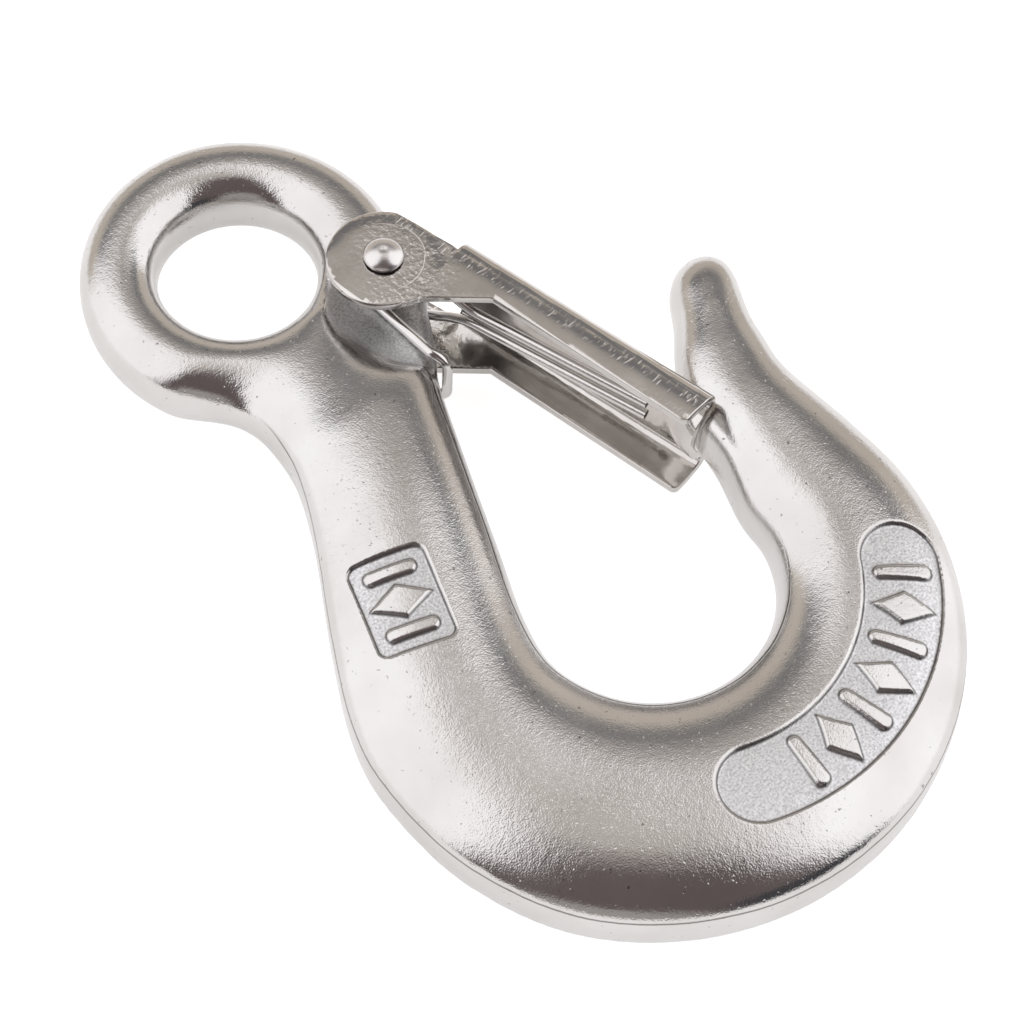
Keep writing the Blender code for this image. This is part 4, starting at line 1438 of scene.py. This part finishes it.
# %% Where the camera stands
camera_data = bpy.data.cameras.new("camera")
camera_data.lens = 108.98
camera_data.sensor_width = 36.0
camera = bpy.data.objects.new("camera", camera_data)
bpy.context.scene.collection.objects.link(camera)
right = Vector((0.641735, -0.766388, 0.028782))
up = Vector((0.655034, 0.567240, 0.499171))
back = -Vector((0.39888, 0.30148, -0.86602))
spot = Vector((-0.125757, -0.096402, 0.277068))
camera.matrix_world = Matrix((
    (right.x, up.x, back.x, spot.x),
    (right.y, up.y, back.y, spot.y),
    (right.z, up.z, back.z, spot.z),
    (0.0, 0.0, 0.0, 1.0),
))
bpy.context.scene.camera = camera
print("camera to the middle of the table in mm:", round(spot.length * 1000))


# %% Light panels and cards, in steps to the right, away from the camera and up
AWAY = Vector((0.797767, 0.602965, 0.0))
SIDE = Vector((0.602965, -0.797767, 0.0))


def panel(name, corners, colour, strength):
    """A glowing sheet, a little bowed, with its corners given as (right, away, up) in metres."""
    rim = [SIDE * r + AWAY * a + Vector((0.0, 0.0, u)) for r, a, u in corners]
    middle = sum(rim, Vector()) / len(rim)
    middle *= 1.0 + 0.25 * (rim[0].length / middle.length - 1.0)
    fan = [(step, (step + 1) % len(rim), len(rim)) for step in range(len(rim))]
    mesh = bpy.data.meshes.new(name)
    mesh.from_pydata(rim + [middle], [], fan)
    glow = bpy.data.materials.new(name)
    glow.use_nodes = True
    tree = glow.node_tree
    tree.nodes.clear()
    emission = tree.nodes.new("ShaderNodeEmission")
    emission.label = "Light of the panel"
    out = tree.nodes.new("ShaderNodeOutputMaterial")
    out.label = "Panel"
    lay_out(tree, [[emission], [out]])
    emission.inputs["Color"].default_value = (*colour, 1.0)
    emission.inputs["Strength"].default_value = strength
    tree.links.new(emission.outputs["Emission"], out.inputs["Surface"])
    mesh.materials.append(glow)
    piece = bpy.data.objects.new(name, mesh)
    bpy.context.scene.collection.objects.link(piece)
    piece.visible_camera = False
    print(name, "corners:", len(corners))


SOFT_WHITE, WARM_WHITE, NEAR_BLACK = (1.0, 0.985, 1.0), (1.0, 0.95, 0.91), (0.9, 0.9, 1.0)
panel("left_panel", [(-1.4, -1.05, 0.0), (-1.26, -1.2, 0.4), (-0.61, -0.68, 1.2), (-0.29, -0.14, 1.5),
                     (-0.08, 0.9, 1.5), (-1.28, 0.6, 0.5), (-1.4, 0.48, 0.0)], SOFT_WHITE, 1.32)
panel("right_panel", [(1.4, -0.42, 0.0), (1.2, -0.75, 0.55), (0.62, -0.38, 1.25), (0.38, 0.0, 1.5),
                      (0.1, 0.9, 1.5), (0.69, 0.9, 1.1), (1.4, 1.33, 0.0)], SOFT_WHITE, 1.36)
panel("front_card", [(-0.95, -1.5, 0.0), (0.8, -1.5, 0.0), (0.3, -1.5, 0.8), (-0.55, -1.5, 0.8)],
      WARM_WHITE, 0.42)
panel("black_flag", [(0.55, -0.95, 0.0), (1.3, -0.45, 0.0), (1.1, -0.6, 0.5), (0.55, -0.95, 0.55)],
      NEAR_BLACK, 0.07)

# %% The paper floor
floor_mesh = bpy.data.meshes.new("paper_floor")
TABLE_HALF = 6.0
table_corners = [(-TABLE_HALF, -TABLE_HALF, 0.0), (TABLE_HALF, -TABLE_HALF, 0.0),
                 (TABLE_HALF, TABLE_HALF, 0.0), (-TABLE_HALF, TABLE_HALF, 0.0)]
floor_mesh.from_pydata(table_corners, [], [(0, 1, 2, 3)])
floor = bpy.data.objects.new("paper_floor", floor_mesh)
bpy.context.scene.collection.objects.link(floor)
paper = bpy.data.materials.new("white_paper")
paper.use_nodes = True
tree = paper.node_tree
tree.nodes.clear()

sheet_frame = tree.nodes.new("NodeFrame")
sheet_frame.label = "Colour of the sheet"
glow_frame = tree.nodes.new("NodeFrame")
glow_frame.label = "Light from below"
fibre = tree.nodes.new("ShaderNodeTexNoise")
fibre.label = "Fibres of the paper"
whiteness = tree.nodes.new("ShaderNodeValToRGB")
whiteness.label = "Hardly visible mottle"
straight = tree.nodes.new("ShaderNodeLightPath")
straight.label = "Seen straight on or in the metal"
glow = tree.nodes.new("ShaderNodeMapRange")
glow.label = "Lit from below"
sheet = tree.nodes.new("ShaderNodeBsdfPrincipled")
sheet.label = "Matt paper"
paper_out = tree.nodes.new("ShaderNodeOutputMaterial")
paper_out.label = "Paper"
for effect, members in ((sheet_frame, (fibre, whiteness)), (glow_frame, (straight, glow))):
    for node in members:
        node.parent = effect
lay_out(tree, [[fibre], [whiteness, straight], [glow], [sheet], [paper_out]])

fibre.inputs["Scale"].default_value = 300.0
whiteness.color_ramp.elements[0].color = (0.89, 0.89, 0.89, 1.0)
whiteness.color_ramp.elements[1].color = (0.91, 0.91, 0.91, 1.0)
glow.inputs["To Min"].default_value = 0.42
glow.inputs["To Max"].default_value = 0.75
sheet.inputs["Roughness"].default_value = 0.9
sheet.inputs["Emission Color"].default_value = (1.0, 1.0, 1.0, 1.0)

tree.links.new(fibre.outputs["Fac"], whiteness.inputs["Fac"])
tree.links.new(whiteness.outputs["Color"], sheet.inputs["Base Color"])
tree.links.new(straight.outputs["Is Camera Ray"], glow.inputs["Value"])
tree.links.new(glow.outputs["Result"], sheet.inputs["Emission Strength"])
tree.links.new(sheet.outputs["BSDF"], paper_out.inputs["Surface"])
floor_mesh.materials.append(paper)
print("paper nodes:", len(tree.nodes))

# %% The room: darker toward the camera, warm grey behind
world = bpy.data.worlds.new("studio_room")
bpy.context.scene.world = world
world.use_nodes = True
tree = world.node_tree
tree.nodes.clear()

room_frame = tree.nodes.new("NodeFrame")
room_frame.label = "The room that the metal mirrors"
backdrop_frame = tree.nodes.new("NodeFrame")
backdrop_frame.label = "The pale backdrop"
direction = tree.nodes.new("ShaderNodeTexCoord")
direction.label = "Direction"
facing = tree.nodes.new("ShaderNodeVectorMath")
facing.label = "How far away from the camera"
side_shade = tree.nodes.new("ShaderNodeMapRange")
side_shade.label = "Behind the table or before it"
height = tree.nodes.new("ShaderNodeSeparateXYZ")
height.label = "Height of the direction"
back_wall = tree.nodes.new("ShaderNodeValToRGB")
back_wall.label = "Warm wall, then dark, then paler overhead"
both = tree.nodes.new("ShaderNodeMix")
both.label = "Dark room on the camera side"
seen = tree.nodes.new("ShaderNodeLightPath")
seen.label = "Seen straight on or in the metal"
choice = tree.nodes.new("ShaderNodeMix")
choice.label = "Pale backdrop for the eye"
background = tree.nodes.new("ShaderNodeBackground")
background.label = "Room light"
world_out = tree.nodes.new("ShaderNodeOutputWorld")
world_out.label = "World"
for effect, members in (
    (room_frame, (facing, side_shade, height, back_wall, both)),
    (backdrop_frame, (seen, choice)),
):
    for node in members:
        node.parent = effect
lay_out(tree, [[direction], [facing, height], [side_shade, back_wall, seen], [both], [choice],
               [background], [world_out]])

facing.operation = "DOT_PRODUCT"
facing.inputs[1].default_value = AWAY
side_shade.inputs["From Min"].default_value = -0.1
side_shade.inputs["From Max"].default_value = 0.15
wall = back_wall.color_ramp
wall.elements[0].position = 0.0
wall.elements[0].color = (0.62, 0.57, 0.52, 1.0)
wall.elements[1].position = 0.92
wall.elements[1].color = (0.62, 0.58, 0.54, 1.0)
for position, colour in (
    (0.30, (0.66, 0.59, 0.52)),
    (0.48, (0.62, 0.56, 0.50)),
    (0.58, (0.24, 0.235, 0.235)),
    (0.68, (0.22, 0.22, 0.23)),
    (0.76, (0.46, 0.43, 0.40)),
):
    step = wall.elements.new(position)
    step.color = (*colour, 1.0)
both.data_type = "RGBA"
both.inputs["A"].default_value = (0.155, 0.125, 0.125, 1.0)
choice.data_type = "RGBA"
choice.inputs["B"].default_value = (0.93, 0.93, 0.93, 1.0)

tree.links.new(direction.outputs["Generated"], facing.inputs[0])
tree.links.new(direction.outputs["Generated"], height.inputs["Vector"])
tree.links.new(facing.outputs["Value"], side_shade.inputs["Value"])
tree.links.new(height.outputs["Z"], back_wall.inputs["Fac"])
tree.links.new(side_shade.outputs["Result"], both.inputs["Factor"])
tree.links.new(back_wall.outputs["Color"], both.inputs["B"])
tree.links.new(seen.outputs["Is Camera Ray"], choice.inputs["Factor"])
tree.links.new(both.outputs["Result"], choice.inputs["A"])
tree.links.new(choice.outputs["Result"], background.inputs["Color"])
tree.links.new(background.outputs["Background"], world_out.inputs["Surface"])
bpy.context.scene.view_settings.view_transform = "Standard"
print("room nodes:", len(tree.nodes))
